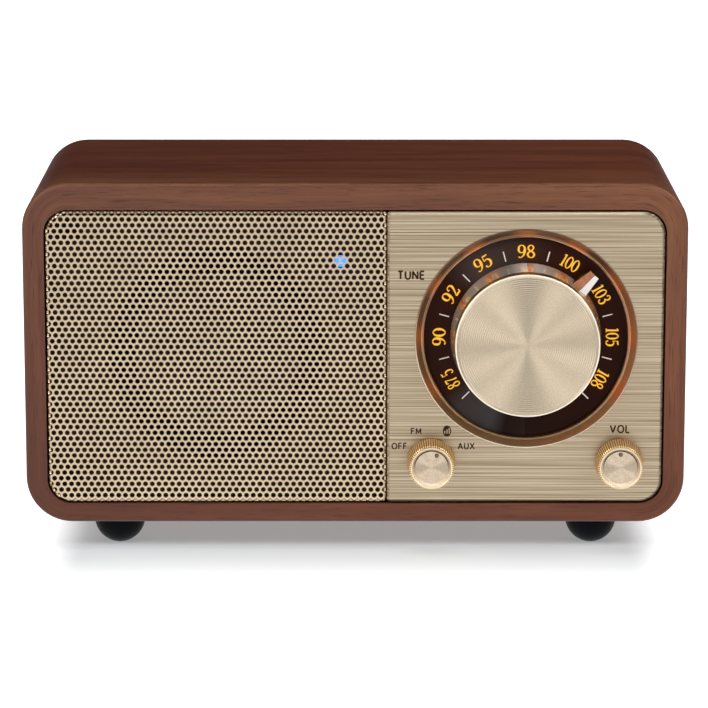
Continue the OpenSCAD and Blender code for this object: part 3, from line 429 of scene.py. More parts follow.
finishes = {
    "walnut": walnut_finish(),
    "block_wood": block_wood_finish(),
    "black_rubber": worn("black_rubber", (3, 5, 8), 0.5, depth=0.02, IOR=1.14),
    "steel": worn("steel", (178, 178, 180), 0.32, 1.0, tone=0.05, grain=3.0),
    "black_board": worn("black_board", (30, 27, 25), 0.75, tone=0.12, grain=2.5, depth=0.04),
    "champagne_metal": brushed_finish(),
    "grille_metal": worn("grille_metal", (195, 174, 146), 0.36, 1.0, tone=0.03, grain=1.5, depth=0.005),
    "copper_metal": worn("copper_metal", (190, 150, 118), 0.42, 1.0, tone=0.06, grain=1.0, depth=0.003),
    "spun_metal": spun_finish("spun_metal", (207, 190, 166), 0.5, 0.002, 0.93),
    "knob_brass": worn("knob_brass", (255, 212, 146), 0.36, 0.6, tone=0.06, grain=2.0, depth=0.004),
    "dial_plate": plate_finish(),
    "light_guide": worn("light_guide", (235, 225, 200), 0.3, tone=0.03),
    "circuit_board": worn("circuit_board", (24, 74, 48), 0.45, tone=0.12),
    "lamp": worn("lamp", (250, 226, 160), 0.4, tone=0.03),
    "status_light": worn("status_light", (90, 150, 255), 0.2, tone=0.03),
    "black_plastic": worn("black_plastic", (30, 30, 31), 0.48, tone=0.08, grain=3.0, depth=0.02),
    "cone_paper": worn("cone_paper", (40, 37, 34), 0.8, tone=0.15, grain=1.6, depth=0.05),
    "spider_cloth": worn("spider_cloth", (186, 134, 58), 0.8, tone=0.1, grain=2.4, depth=0.05),
    "magnet": worn("magnet", (52, 52, 55), 0.5, tone=0.08),
    "copper_wire": worn("copper_wire", (200, 112, 62), 0.3, 1.0),
    "battery_wrap": worn("battery_wrap", (40, 74, 130), 0.35, tone=0.05),
    "capacitor_sleeve": worn("capacitor_sleeve", (34, 36, 60), 0.35, tone=0.06),
    "fibre_board": worn("fibre_board", (140, 104, 70), 0.7, tone=0.1),
    "red_lead": worn("red_lead", (150, 28, 24), 0.4, tone=0.05),
    "amber_lead": worn("amber_lead", (200, 140, 40), 0.4, tone=0.05),
}
finishes["lamp"].light_up((255, 196, 96), 1.0)
finishes["status_light"].light_up((40, 110, 255), 3.0)

blackened_steel = worn("blackened_steel", (34, 33, 33), 0.5, 1.0, tone=0.05)
cap_metal = spun_finish("cap_metal", (194, 176, 154), 0.4, 0.002, 0.88)
own_finishes = {
    "baffle_screws": blackened_steel,
    "speaker_screws": blackened_steel,
    "front_baffle": worn("baffle_brown", (44, 25, 12), 0.8, tone=0.12, grain=2.5, depth=0.04),
    "dial_bezel": bezel_finish(),
    "tuning_knob": wall_finish(),
    "tuning_pointer": worn("index_metal", (98, 64, 46), 0.4, 1.0, tone=0.05, grain=1.0, depth=0.003),
    "mode_knob_cap": cap_metal,
    "volume_knob_cap": cap_metal,
}

for cad_name, cad_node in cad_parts.items():
    slot_finish = finishes[cad_node.data.materials[0].name]
    cad_node.data.materials[0] = own_finishes.get(cad_name, slot_finish).material

# --- Loudspeaker grille --------------------------------------------------------------------------

HOLE_PITCH = 1.841 * MM
HOLE_RADIUS = 0.7 * MM
HOLE_SHIFT = Vector((0.53 * MM, 0, -0.18 * MM))
ROW = HOLE_PITCH * math.sin(math.radians(60))
SHEET = 0.5 * MM
BEND = 0.9 * MM
# The face's left corners are rounded, and its right corners are square.
FACE_CORNER = 6.2 * MM - BEND
CORNER_CUTS = 12


def grille_cell():
    """One round hole in its six-sided share of the sheet, lying in the plane of the front."""
    bm = bmesh.new()
    bmesh.ops.create_circle(bm, segments=12, radius=HOLE_RADIUS)
    share = bmesh.ops.create_circle(bm, segments=12, radius=HOLE_PITCH / 2)["verts"]
    bmesh.ops.scale(bm, vec=Vector((1, 1, 1)) / math.cos(math.radians(30)), verts=share[::2])
    bmesh.ops.bridge_loops(bm, edges=bm.edges)
    bmesh.ops.rotate(bm, cent=(0, 0, 0), matrix=Matrix.Rotation(math.pi / 2, 3, "X"), verts=bm.verts)
    return bm


def copy_by(bm, geometry, step):
    """Copies part of a bmesh and moves the copy by a step."""
    copy = bmesh.ops.duplicate(bm, geom=geometry)["geom"]
    moved = [v for v in copy if isinstance(v, bmesh.types.BMVert)]
    bmesh.ops.translate(bm, vec=step, verts=moved)


def repeat(bm, count, step):
    """Repeats all that a bmesh holds, count times in all, each a step from the last."""
    first = whole(bm)
    for number in range(1, count):
        copy_by(bm, first, number * Vector(step))


def held(value, low, high):
    """A number held between two others."""
    return min(max(value, low), high)


def folded(point, low, high):
    """Folds a point of the flat sheet back over the edge of the grille's face, corners included."""
    corner = FACE_CORNER if point.x < (low.x + high.x) / 2 else 0
    base = Vector((
        held(point.x, low.x + corner, high.x - corner), 0, held(point.z, low.z + corner, high.z - corner)
    ))
    away = Vector((point.x, 0, point.z)) - base
    past = away.length - corner
    if past <= 0:
        return point
    turn = min(past / BEND, math.pi / 2)
    reach = corner + BEND * math.sin(turn)
    depth = BEND * (1 - math.cos(turn)) + max(0, past - BEND * math.pi / 2)
    return base + away * (reach / away.length) + Vector((0, point.y + depth, 0))


def outline_cuts(low, high, skirt):
    """The cuts that trim the flat sheet, as ((x, z), way out): four sides and four rounded corners."""
    cuts = [((low.x - skirt, low.z), (-1, 0)), ((high.x + skirt, low.z), (1, 0)),
            ((low.x, low.z - skirt), (0, -1)), ((low.x, high.z + skirt), (0, 1))]
    for side, corner, x in ((-1, FACE_CORNER, low.x + FACE_CORNER), (1, 0, high.x)):
        for rise, z in ((1, high.z - corner), (-1, low.z + corner)):
            for step in range(1, CORNER_CUTS):
                turn = math.pi / 2 * step / CORNER_CUTS
                way = Vector((side * math.cos(turn), rise * math.sin(turn)))
                cuts.append(((x + way.x * (corner + skirt), z + way.y * (corner + skirt)), way))
    return cuts


def make_grille():
    """The perforated sheet: rows of holes, cut to shape, folded back and given its thickness."""
    low = grille_low + Vector((BEND, 0, BEND))
    high = grille_high - Vector((BEND, 0, BEND))
    skirt = BEND * math.pi / 2 + grille_high.y - grille_low.y - BEND
    middle = (low + high) / 2
    wide = high.x - low.x + 2 * skirt
    tall = high.z - low.z + 2 * skirt
    columns = 2 * math.ceil(wide / HOLE_PITCH / 2) + 3
    pairs = 2 * math.ceil(tall / ROW / 4) + 1
    bm = grille_cell()
    repeat(bm, columns, (HOLE_PITCH, 0, 0))
    copy_by(bm, whole(bm), (HOLE_PITCH / 2, 0, ROW))
    repeat(bm, pairs, (0, 0, 2 * ROW))
    start = Vector((middle.x - HOLE_PITCH * (columns // 2), front, middle.z - 2 * ROW * (pairs // 2)))
    bmesh.ops.translate(bm, vec=start + HOLE_SHIFT, verts=bm.verts)
    bmesh.ops.remove_doubles(bm, verts=bm.verts, dist=1e-6)
    for (x, z), way in outline_cuts(low, high, skirt):
        bmesh.ops.bisect_plane(
            bm, geom=whole(bm), dist=1e-6, clear_outer=True,
            plane_co=(x, front, z), plane_no=(way[0], 0, way[1])
        )
    inset = Vector((FACE_CORNER, 0, FACE_CORNER))
    flat_low, flat_high = low + inset, high - inset
    spare = [v for v in bm.verts if len(v.link_edges) == 4 and not v.is_boundary
             and flat_low.x < v.co.x < flat_high.x and flat_low.z < v.co.z < flat_high.z]
    bmesh.ops.dissolve_verts(bm, verts=spare)
    for vert in bm.verts:
        vert.co = folded(vert.co, low, high)
    bmesh.ops.recalc_face_normals(bm, faces=bm.faces)
    if sum(face.normal.y for face in bm.faces) > 0:
        bmesh.ops.reverse_faces(bm, faces=bm.faces)
    bmesh.ops.solidify(bm, geom=bm.faces[:], thickness=SHEET)
    return make_piece("perforated_grille", bm, finishes["grille_metal"], "radio", 40)


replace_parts(make_grille(), "speaker_grille")

# --- Tuning knob ---------------------------------------------------------------------------------

GROOVE = 0.57 * MM
GROOVE_DEPTH = 0.05 * MM
DISC_EDGE = 19.5 * MM
DISC_RIM = [(19.1, 0.3), (19.12, 0.0), (19.3, -0.03), (19.45, 0.03), (19.53, 0.14), (19.54, 0.4)]


def make_disc():
    """The knob's front disc: concentric grooves inside a smooth rounded edge."""
    radius = (disc_high.x - disc_low.x) / 2
    face = disc_low.y
    flat = DISC_EDGE - 0.35 * MM
    profile = [(0, face)]
    ring = 1
    while ring * GROOVE / 2 < flat - GROOVE:
        profile.append((ring * GROOVE / 2, face + GROOVE_DEPTH * (ring % 2)))
        ring += 1
    profile += [
        (flat, face),
        (DISC_EDGE - 0.2 * MM, face + 0.03 * MM),
        (DISC_EDGE - 0.07 * MM, face + 0.12 * MM),
        (DISC_EDGE, face + 0.4 * MM),
        (radius, disc_high.y),
        (0, disc_high.y),
    ]
    bm = spun(profile, tuner, 256)
    return make_piece("spun_disc", bm, finishes["spun_metal"], "tuning", 5)


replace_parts(make_disc(), "tuning_disc")

# The disc's rounded edge gets a paler, duller copy of its metal: a painted highlight along the rim.
rim_painted_highlight = worn("rim_painted_highlight", (246, 234, 214), 0.4, 0.4, tone=0.02, grain=1.0, depth=0.001)
make_piece("disc_rim", turned(DISC_RIM, disc_low.y, tuner), rim_painted_highlight, "tuning", 40)

# --- Bezel lines and pointer ---------------------------------------------------------------------

BEZEL_EDGE = [(30.15, 0.5), (30.22, 0.5), (30.22, 0.22), (30.14, 0.06), (30.0, -0.03), (29.92, 0.0)]
BEZEL_BEAD = [(28.2, 1.95), (28.16, 1.84), (28.08, 1.8), (28.0, 1.84), (27.96, 1.95)]
bead_metal = worn("bead_metal", (214, 178, 146), 0.36, 1.0, tone=0.02, grain=1.0, depth=0.001)
for name, rows, finish in (
    ("bezel_edge", BEZEL_EDGE, edge_finish()),
    ("bezel_bead", BEZEL_BEAD, bead_metal),
):
    make_piece(name, turned(rows, bezel_face, dial, 256), finish, "radio", 40)

WHITE_SKIN_LIFT = 0.04 * MM
# How far a face of the pointer has to look down its side and to the front to get the white skin.
LEAST_DOWN = 0.2
LEAST_FRONT = 0.3
# A plain white skin over the pointer's lower face, white from every side.
white_skin = worn("white_facet_skin", (250, 250, 247), 0.35, tone=0.01)


def make_stripe():
    """The white stripe: a thin skin on the lower of the pointer's two faces."""
    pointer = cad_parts["tuning_pointer"]
    bm = bmesh.new()
    bm.from_mesh(pointer.data)
    bmesh.ops.remove_doubles(bm, verts=bm.verts, dist=1e-6)
    bmesh.ops.transform(bm, matrix=pointer.matrix_world, verts=bm.verts)
    bm.normal_update()
    lower = Vector((1, 0, -1)).normalized()
    others = [
        face for face in bm.faces
        if face.normal.dot(lower) < LEAST_DOWN or face.normal.y > -LEAST_FRONT
    ]
    bmesh.ops.delete(bm, geom=others, context="FACES")
    bmesh.ops.translate(bm, vec=(lower + Vector((0, -1, 0))) * WHITE_SKIN_LIFT, verts=bm.verts)
    return make_piece("pointer_stripe", bm, white_skin, "tuning")


make_stripe()

# --- Small knobs ---------------------------------------------------------------------------------

KNURLS = 62
KNURL_DEPTH = 0.45 * MM
# One knurl: how far through it each edge lies, and whether that edge is cut down.
KNURL_EDGES = ((0.0, 0), (0.56, 0), (0.66, 1), (0.9, 1), (1.0, 0))
# The skirt from its recess, over its rim and back: radius, depth, and whether the knurl cuts it.
SKIRT_FRONT = ((4.97, 1.6, 0), (4.97, 0.5, 0), (5.5, 0.42, 0), (5.62, 0.62, 0),
               (5.85, 0.68, 1), (6.05, 0.85, 1))
# The same at its foot, as what the radius lacks of the widest and the distance from the panel.
SKIRT_FOOT = ((0, 0.5, 1), (0.12, 0.1, 0), (1.2, 0, 0))
# The knurl's first valley edge, and the skirt's rows before and behind the valleys.
VALLEY_EDGE = 1
VALLEY_ROWS = (3, 7)
RIM = [(5.12, 0.95), (5.24, 0.14), (5.34, 0.03), (5.48, 0), (5.62, 0.04), (5.7, 0.16), (5.72, 0.4),
       (5.66, 0.6), (5.5, 0.66), (5.3, 0.95)]
RECESS = [(4.46, 0.97), (4.46, 0.94), (4.84, 0.9), (5.2, 0.2), (5.22, 0.97)]
DIMPLE = [(0.0, 0.34), (0.3, 0.27), (0.44, 0.1), (0.5, -0.02), (0.44, -0.02), (0.38, 0.06),
          (0.24, 0.18), (0.0, 0.22)]
DIMPLE_OUT = 3.6 * MM

rim_metal = worn("rim_metal", (226, 211, 188), 0.42, 0.7, tone=0.02, grain=1.0, depth=0.001)
# The knurl's valleys: a darker brown, painted shade in the creases between the ridges.
painted_valley_shade = worn("painted_valley_shade", (178, 120, 60), 0.5, 0.3, tone=0.05)
dimple_brown = worn("dimple_brown", (132, 104, 78), 0.5, 0.6, tone=0.05)


def make_knurl(low, high, valleys):
    """A skirt's bright ridges and plain ends, or only the valleys between its ridges."""
    axis = (low + high) / 2
    foot = (high.x - low.x) / 2
    rows = [(radius * MM, low.y + depth * MM, cut) for radius, depth, cut in SKIRT_FRONT]
    rows += [(foot - less * MM, high.y - depth * MM, cut) for less, depth, cut in SKIRT_FOOT]
    across, along = len(KNURL_EDGES) - 1, len(rows) - 1
    spread = Matrix.Translation((across / 2, along / 2, 0)) @ Matrix.Diagonal((across / 2, along / 2, 1, 1))
    bm = bmesh.new()
    bmesh.ops.create_grid(bm, x_segments=across, y_segments=along, size=1, matrix=spread)
    others = []
    for face in bm.faces:
        middle = face.calc_center_median()
        in_valley = middle.x > VALLEY_EDGE and VALLEY_ROWS[0] < middle.y < VALLEY_ROWS[1]
        if in_valley != valleys:
            others.append(face)
    bmesh.ops.delete(bm, geom=others, context="FACES")
    for vert in bm.verts:
        through, sunk = KNURL_EDGES[round(vert.co.x)]
        radius, y, cut = rows[round(vert.co.y)]
        turn = 2 * math.pi * through / KNURLS
        reach = radius - cut * sunk * KNURL_DEPTH
        vert.co = (axis.x + reach * math.cos(turn), y, axis.z + reach * math.sin(turn))
    bmesh.ops.reverse_faces(bm, faces=bm.faces)
    copies = KNURLS - 1
    bmesh.ops.spin(
        bm, geom=whole(bm), cent=axis, axis=(0, 1, 0), angle=2 * math.pi * copies / KNURLS,
        steps=copies, use_duplicate=True
    )
    bmesh.ops.remove_doubles(bm, verts=bm.verts, dist=1e-6)
    return bm


def dress_knob(knob, body):
    """A small knob's knurled skirt, polished rim and recess."""
    low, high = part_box(knob)
    axis = (low + high) / 2
    valleys = make_knurl(low, high, True)
    make_piece(knob + "_skirt_valleys", valleys, painted_valley_shade, body, 25)
    ridges = make_knurl(low, high, False)
    skirt = make_piece(knob + "_skirt", ridges, finishes["knob_brass"], body, 25)
    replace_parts(skirt, knob)
    make_piece(knob + "_rim", turned(RIM, low.y, axis, 128), rim_metal, body, 40)
    recess = recess_finish(knob + "_recess", axis)
    make_piece(knob + "_recess", turned(RECESS, low.y, axis, 96), recess, body)


def make_dimple(cap, body, point):
    """The shaded bowl of a cap's dimple, a turn clockwise from the top."""
    low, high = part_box(cap)
    centre = (low + high) / 2 + Vector((math.sin(point), 0, math.cos(point))) * DIMPLE_OUT
    bowl = turned(DIMPLE, low.y, centre, 32)
    make_piece(cap + "_dimple", bowl, dimple_brown, body)


dress_knob("mode_knob", "mode_selector")
dress_knob("volume_knob", "volume")
make_dimple("mode_knob_cap", "mode_selector", math.radians(22.5))
make_dimple("volume_knob_cap", "volume", 0)

# --- Dial numbers and marks ----------------------------------------------------------------------

# Each stroke is a row of (x, y, half width) points, on a figure one unit high.
FIGURES = {
    "0": [[(0.27, 0.97, 0.03), (0.1, 0.8, 0.055), (0.05, 0.5, 0.075), (0.1, 0.2, 0.055),
           (0.27, 0.03, 0.03), (0.44, 0.2, 0.055), (0.49, 0.5, 0.075), (0.44, 0.8, 0.055),
           (0.27, 0.97, 0.03)]],
    "1": [[(0.27, 0.02, 0.075), (0.27, 0.5, 0.07), (0.27, 0.95, 0.06)],
          [(0.1, 0.83, 0.025), (0.25, 0.93, 0.04)], [(0.1, 0.025, 0.025), (0.44, 0.025, 0.025)]],
    "2": [[(0.11, 0.73, 0.065), (0.11, 0.87, 0.035), (0.27, 0.97, 0.03), (0.44, 0.86, 0.06),
           (0.44, 0.68, 0.07), (0.31, 0.42, 0.05), (0.08, 0.07, 0.03)],
          [(0.08, 0.06, 0.05), (0.28, 0.07, 0.065), (0.45, 0.06, 0.05), (0.5, 0.24, 0.022)]],
    "3": [[(0.11, 0.79, 0.06), (0.14, 0.91, 0.035), (0.27, 0.97, 0.03), (0.42, 0.86, 0.06),
           (0.41, 0.66, 0.055), (0.22, 0.53, 0.025)],
          [(0.22, 0.53, 0.025), (0.42, 0.45, 0.055), (0.47, 0.27, 0.075), (0.4, 0.09, 0.055),
           (0.24, 0.03, 0.03), (0.11, 0.08, 0.04), (0.09, 0.2, 0.06)]],
    "5": [[(0.12, 0.92, 0.05), (0.3, 0.91, 0.055), (0.46, 0.95, 0.03)],
          [(0.12, 0.93, 0.025), (0.1, 0.52, 0.025)],
          [(0.1, 0.53, 0.025), (0.26, 0.61, 0.035), (0.44, 0.51, 0.065), (0.48, 0.32, 0.075),
           (0.4, 0.1, 0.055), (0.24, 0.03, 0.03), (0.11, 0.07, 0.04), (0.09, 0.19, 0.06)]],
    "7": [[(0.07, 0.76, 0.022), (0.09, 0.9, 0.045)],
          [(0.09, 0.91, 0.055), (0.3, 0.91, 0.06), (0.48, 0.93, 0.04)],
          [(0.48, 0.92, 0.03), (0.36, 0.62, 0.04), (0.26, 0.32, 0.06), (0.23, 0.04, 0.08)]],
    "8": [[(0.27, 0.53, 0.045), (0.12, 0.66, 0.055), (0.12, 0.86, 0.055), (0.27, 0.97, 0.03),
           (0.42, 0.86, 0.05), (0.4, 0.67, 0.045), (0.27, 0.53, 0.045)],
          [(0.27, 0.53, 0.045), (0.1, 0.4, 0.05), (0.07, 0.2, 0.06), (0.27, 0.03, 0.03),
           (0.47, 0.18, 0.06), (0.43, 0.4, 0.06), (0.27, 0.53, 0.045)]],
    "9": [[(0.44, 0.6, 0.07), (0.4, 0.48, 0.04), (0.25, 0.4, 0.03), (0.1, 0.5, 0.06), (0.07, 0.7, 0.07),
           (0.12, 0.9, 0.05), (0.27, 0.97, 0.03), (0.42, 0.87, 0.055), (0.47, 0.6, 0.075),
           (0.43, 0.33, 0.06), (0.3, 0.1, 0.035), (0.12, 0.03, 0.025), (0.1, 0.11, 0.05)]],
    ".": [[(0.1, 0.06, 0.06), (0.101, 0.061, 0.06)]],
}
NARROW = {"1": 0.44, ".": 0.2}
STATIONS = ["87.5", "90", "92", "95", "98", "100", "103", "105", "108"]
NUMBER_RADIUS = 23.6 * MM
NUMBER_HEIGHT = 3.6 * MM
# As shares of a figure's height: its width, the gap after it and the width a long number is held to.
FIGURE_WIDTH = 0.54
FIGURE_GAP = 0.06
LONGEST = 1.5
# How much wider the short numbers are drawn, and the least half width of a stroke.
SHORT_STRETCH = 1.15
THINNEST = 0.016
# In degrees clockwise from the top of the dial.
FIRST_NUMBER = -120
NUMBER_STEP = 30
MARKS = 10
MARK_RADIUS = 22.95 * MM
MARK_SIZE = (0.32 * MM, 2.8 * MM, 0.06 * MM)


def lit_finish(name, colour, strength):
    """Printed figures that a lamp shines through, and the painted glow of their light round them."""
    finish = worn(name, [c * 0.4 for c in colour], 0.5, tone=0.04, IOR=1.2)
    finish.light_up(colour, strength)
    return finish


def stroke_mesh(name, strokes, swell, flat):
    """Pen strokes of changing width, as one raised mesh: swell widens them and flat is their lowness."""
    curve = bpy.data.curves.new(name, "CURVE")
    curve.dimensions = "3D"
    curve.bevel_depth = 1.0
    curve.bevel_resolution = 1
    curve.resolution_u = 5
    curve.use_fill_caps = True
    for stroke in strokes:
        spline = curve.splines.new("BEZIER")
        spline.bezier_points.add(len(stroke) - 1)
        for point, (x, y, half) in zip(spline.bezier_points, stroke):
            point.co = (x, y, 0)
            point.radius = max(THINNEST, half + swell)
            point.handle_left_type = point.handle_right_type = "AUTO"
    holder = bpy.data.objects.new(name, curve)
    mesh = bpy.data.meshes.new_from_object(holder)
    bpy.data.objects.remove(holder)
    mesh.transform(Matrix.Diagonal((1, 1, flat, 1)))
    return mesh


def dial_place(angle, radius, lift):
    """Stands a flat drawing on the dial plate, upright at an angle clockwise from the top."""
    turn = Matrix.Rotation(angle, 4, "Y")
    return (
        Matrix.Translation((dial.x, plate_low.y - lift, dial.z)) @ turn @ Matrix.Translation((0, 0, radius))
        @ Matrix.Rotation(math.pi / 2, 4, "X")
    )


def make_number(name, text, angle, finish, swell, flat, lift):
    """One station's number, centred on its angle."""
    strokes = []
    x = 0
    for figure in text:
        strokes += [[(px + x, py, half) for px, py, half in stroke] for stroke in FIGURES[figure]]
        x += NARROW.get(figure, FIGURE_WIDTH) + FIGURE_GAP
    squeeze = min(1, LONGEST / x) if len(text) > 2 else SHORT_STRETCH
    mesh = stroke_mesh(name, strokes, swell, flat)
    mesh.transform(Matrix.Translation((-x / 2 + 0.02, -0.5, 0)))
    mesh.transform(Matrix.Diagonal((squeeze * NUMBER_HEIGHT, NUMBER_HEIGHT, NUMBER_HEIGHT, 1)))
    mesh.transform(dial_place(angle, NUMBER_RADIUS, lift))
    return add_piece(name, mesh, finish, "radio")


amber = lit_finish("lit_amber", (255, 204, 70), 0.9)
# A wider, dimmer glowing copy under each number: a painted halo of its light on the plate.
painted_halo = lit_finish("amber_glow", (196, 92, 8), 0.6)
for index, station in enumerate(STATIONS):
    angle = math.radians(FIRST_NUMBER + NUMBER_STEP * index)
    tag = station.replace(".", "_")
    make_number("number_" + tag, station, angle, amber, swell=-0.004, flat=0.2, lift=0.02 * MM)
    make_number("painted_number_glow_" + tag, station, angle, painted_halo, swell=0.03, flat=0.04, lift=0.0)

print_white = worn("print_white", (226, 220, 214), 0.45, tone=0.02)
for index in range(MARKS):
    angle = math.radians(FIRST_NUMBER + NUMBER_STEP * (index - 0.5))
    bm = bmesh.new()
    bmesh.ops.create_cube(bm, size=1)
    bmesh.ops.scale(bm, vec=MARK_SIZE, verts=bm.verts)
    bmesh.ops.transform(bm, matrix=dial_place(angle, MARK_RADIUS, 0.0), verts=bm.verts)
    make_piece(f"dial_mark_{index + 1}", bm, print_white, "radio")

# --- Printing on the panel -----------------------------------------------------------------------

# Each letter is a width and its strokes, on a letter one unit high.
LETTERS = {
    "A": (0.72, [[(0, 0), (0.36, 1)], [(0.36, 1), (0.72, 0)], [(0.14, 0.34), (0.58, 0.34)]]),
    "E": (0.5, [[(0, 0), (0, 1)], [(0, 1), (0.5, 1)], [(0, 0.52), (0.44, 0.52)], [(0, 0), (0.5, 0)]]),
    "F": (0.48, [[(0, 0), (0, 1)], [(0, 1), (0.48, 1)], [(0, 0.52), (0.42, 0.52)]]),
    "L": (0.46, [[(0, 1), (0, 0)], [(0, 0), (0.46, 0)]]),
    "M": (0.74, [[(0, 0), (0, 1)], [(0, 1), (0.37, 0.22)], [(0.37, 0.22), (0.74, 1)],
                 [(0.74, 1), (0.74, 0)]]),
    "N": (0.62, [[(0, 0), (0, 1)], [(0, 1), (0.62, 0)], [(0.62, 0), (0.62, 1)]]),
    "O": (0.76, [[(0.38, 1), (0.07, 0.8), (0, 0.5), (0.07, 0.2), (0.38, 0),
                  (0.69, 0.2), (0.76, 0.5), (0.69, 0.8), (0.38, 1)]]),
    "T": (0.6, [[(0, 1), (0.6, 1)], [(0.3, 1), (0.3, 0)]]),
    "U": (0.6, [[(0, 1), (0, 0.36), (0.09, 0.1), (0.3, 0), (0.51, 0.1), (0.6, 0.36), (0.6, 1)]]),
    "V": (0.68, [[(0, 1), (0.34, 0)], [(0.34, 0), (0.68, 1)]]),
    "X": (0.66, [[(0, 0), (0.66, 1)], [(0, 1), (0.66, 0)]]),
}
LETTER_GAP = 0.34
# Each word, its place across and up the radio, its height, and the weight of its strokes.
LABELS = (
    ("TUNE", 15.15, 76.95, 2.1, 0.12),
    ("VOL", 72.2, 34.3, 2.0, 0.11),
    ("OFF", 12.05, 29.5, 1.64, 0.105),
    ("FM", 16.6, 33.65, 1.64, 0.105),
    ("AUX", 30.3, 29.5, 1.64, 0.105),
)
# In millimetres: the badge's place, size and lift, and its bars' heights, width, spacing, foot and lift.
BADGE = (25.05, 33.7)
BADGE_SIZE = (2.3, 3.15)
BADGE_LIFT = 0.01
BARS = (0.8, 1.2, 1.6)
BAR_WIDTH = 0.32
BAR_STEP = 0.62
BAR_FOOT = -0.75
BAR_LIFT = 0.012

ink = worn("brown_ink", (52, 32, 18), 0.6, tone=0.05, IOR=1.2)


def panel_place(x, z, lift=0.0):
    """Stands a flat drawing in millimetres on the control panel."""
    place = Matrix.Translation((x * MM, panel_face - lift * MM, z * MM))
    return place @ Matrix.Rotation(math.pi / 2, 4, "X") @ Matrix.Diagonal((MM, MM, MM, 1))


def make_label(text, x, z, height, weight):
    """A word printed on the control panel, centred on its place."""
    strokes = []
    reach = 0
    for letter in text:
        wide, lines = LETTERS[letter]
        strokes += [[(reach + px, py, weight) for px, py in line] for line in lines]
        reach += wide + LETTER_GAP
    mesh = stroke_mesh("label_" + text, strokes, swell=0, flat=0.12)
    mesh.transform(Matrix.Translation((-(reach - LETTER_GAP) / 2, -0.5, 0)))
    mesh.transform(panel_place(x, z) @ Matrix.Diagonal((height, height, height, 1)))
    return add_piece("label_" + text.lower(), mesh, ink, "radio")


def make_badge(x, z):
    """A plain dark oval with three light bars that grow to the right."""
    oval = bmesh.new()
    bmesh.ops.create_circle(oval, cap_ends=True, segments=48, radius=0.5)
    bmesh.ops.scale(oval, vec=(*BADGE_SIZE, 1), verts=oval.verts)
    bars = bmesh.new()
    for index, tall in enumerate(BARS):
        bar = bmesh.ops.create_grid(bars, x_segments=1, y_segments=1, size=0.5)["verts"]
        bmesh.ops.scale(bars, vec=(BAR_WIDTH, tall, 1), verts=bar)
        bmesh.ops.translate(bars, vec=((index - 1) * BAR_STEP, tall / 2 + BAR_FOOT, BAR_LIFT), verts=bar)
    for bm in (oval, bars):
        bmesh.ops.transform(bm, matrix=panel_place(x, z, BADGE_LIFT), verts=bm.verts)
    make_piece("level_badge", oval, ink, "radio")
    make_piece("level_bars", bars, finishes["champagne_metal"], "radio")


for label in LABELS:
    make_label(*label)
make_badge(*BADGE)

# --- Felt in the bass port -----------------------------------------------------------------------

FELT = [(0, 0.6), (8.91, 0.6), (9.9, 0.7), (9.9, 1.9), (8.91, 2.0), (0, 2.0)]
port_low, port_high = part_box("bass_port")
port = (port_low + port_high) / 2
dust_felt = worn("dust_felt", (18, 17, 17), 0.95, tone=0.15, grain=1.2, depth=0.06)
make_piece("port_felt", turned(FELT, port_low.y, port, 96), dust_felt, "radio")

# --- Camera --------------------------------------------------------------------------------------

SENSOR = 36
LENS = 185.542
CAMERA_AWAY = 0.970
CAMERA_UP = 0.259
TILT = math.radians(11.87)
PAN = math.radians(0.01884)

camera = bpy.data.cameras.new("camera")
camera.sensor_width = SENSOR
camera.lens = LENS
camera.clip_end = 20
viewer = bpy.data.objects.new("camera", camera)
bpy.context.scene.collection.objects.link(viewer)
viewer.location = (0, front - CAMERA_AWAY, CAMERA_UP)
viewer.rotation_euler = (math.pi / 2 - TILT, 0, PAN)
bpy.context.scene.camera = viewer

# --- Studio --------------------------------------------------------------------------------------

# How brightly the floor glows under the radio, beside it, in what mirrors it and on what it faces.
UNDER_GLOW = 0.302
NEAR_GLOW = 0.185
MIRRORED_GLOW = 0.98
BOUNCED_GLOW = 0.27
# In millimetres across and back: how far inside the cabinet's sides the shadow starts to fade, how many
# times faster it fades that way, how far out it ends, and how far in it takes to be at its deepest.
SHADOW_INSET = (16, 0)
SHADOW_STEEPNESS = (3.6, 1.0)
SHADOW_FADE = 70
UNDER_DEPTH = 17
FLOOR_REACH = 4
# The studio looks white but lights the radio dimly: all round, and in mirrored rays in front and behind.
DIM = 0.0254
DIM_FRONT = 0.0509
DIM_BEHIND = 0.0153


def softbox(name, place, aim, wide, tall, power):
    """A square lamp that faces a point."""
    lamp = bpy.data.lights.new(name, "AREA")
    lamp.shape = "RECTANGLE"
    lamp.size = wide
    lamp.size_y = tall
    lamp.energy = power
    holder = bpy.data.objects.new(name, lamp)
    bpy.context.scene.collection.objects.link(holder)
    holder.location = place
    holder.rotation_euler = (Vector(aim) - Vector(place)).to_track_quat("-Z", "Y").to_euler()


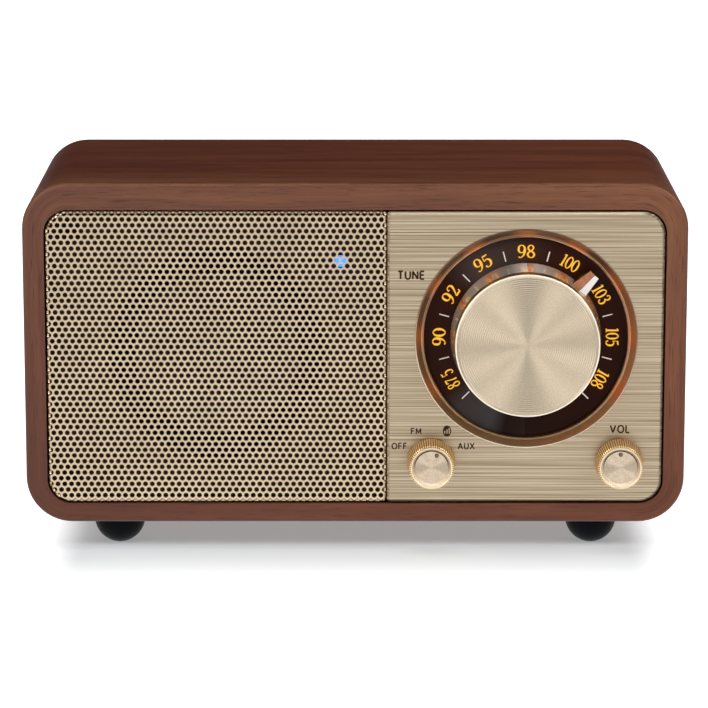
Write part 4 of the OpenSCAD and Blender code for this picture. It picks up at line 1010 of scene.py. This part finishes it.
def white_floor():
    """A white floor that keeps the radio's shadow near its foot and is pure white elsewhere."""
    finish = Finish("studio_floor", (197, 201, 203), 0.9)
    split = finish.add("SeparateXYZ", {0: finish.place()})
    past = []
    for axis, inset in enumerate(SHADOW_INSET):
        reach = (cabinet_high[axis] - cabinet_low[axis]) / (2 * MM) - inset
        middle = (cabinet_high[axis] + cabinet_low[axis]) / (2 * MM)
        offset = finish.math("ABSOLUTE", finish.math("SUBTRACT", split.outputs[axis], middle))
        past.append(finish.math("SUBTRACT", offset, reach))
    beyond = [
        finish.math("MULTIPLY", finish.math("MAXIMUM", distance, 0.0), steepness)
        for distance, steepness in zip(past, SHADOW_STEEPNESS)
    ]
    smooth = {"interpolation_type": "SMOOTHSTEP"}
    under = finish.between(past[1], -UNDER_DEPTH, 0, UNDER_GLOW, NEAR_GLOW, **smooth)
    open_floor = finish.between(finish.length(*beyond), 0, SHADOW_FADE, **smooth)
    path = finish.add("LightPath").outputs
    mirrored = finish.math("MAXIMUM", path["Is Glossy Ray"], path["Is Transmission Ray"])
    glow = finish.math("MULTIPLY", finish.math("ADD", under, open_floor), path["Is Camera Ray"])
    glow = finish.math("ADD", glow, finish.math("MULTIPLY", mirrored, MIRRORED_GLOW))
    glow = finish.math("ADD", glow, finish.math("MULTIPLY", path["Is Diffuse Ray"], BOUNCED_GLOW))
    light = finish.add("Emission", {"Strength": glow})
    both = finish.add("AddShader", {0: finish.shader.outputs[0], 1: light.outputs[0]})
    finish.tree.links.new(both.outputs[0], finish.nodes["Material Output"].inputs["Surface"])
    bm = bmesh.new()
    bmesh.ops.create_grid(bm, x_segments=1, y_segments=1, size=FLOOR_REACH)
    mesh = bpy.data.meshes.new("studio_floor")
    bm.to_mesh(mesh)
    bm.free()
    mesh.materials.append(finish.material)
    floor = bpy.data.objects.new("studio_floor", mesh)
    bpy.context.scene.collection.objects.link(floor)


def white_studio():
    """The room round the radio, which shows white behind it but hardly lights it."""
    world = bpy.data.worlds.new("studio")
    bpy.context.scene.world = world
    world.use_nodes = True
    sky = Nodes(world.node_tree)
    way = sky.add("SeparateXYZ", {0: sky.add("TexCoord").outputs["Generated"]})
    behind = sky.between(way.outputs["Y"], -0.2, 0.5, DIM_FRONT, DIM_BEHIND)
    path = sky.add("LightPath").outputs
    mirrored = sky.between(path["Is Glossy Ray"], 0.0, 1.0, DIM, behind)
    level = sky.math("MAXIMUM", path["Is Camera Ray"], mirrored)
    background = sky.nodes["Background"]
    background.inputs["Color"].default_value = (1, 1, 1, 1)
    sky.tree.links.new(level, background.inputs["Strength"])


centre = (0, front, 0.055)
softbox("left_box", (-1.3, front - 1.1, 1.2), centre, 0.9, 0.9, 27)
softbox("right_box", (1.3, front - 1.1, 1.2), centre, 0.9, 0.9, 26)
softbox("top_box", (0, front - 0.3, 1.5), centre, 0.7, 0.5, 5)
white_floor()
white_studio()
bpy.context.scene.view_settings.view_transform = "Standard"
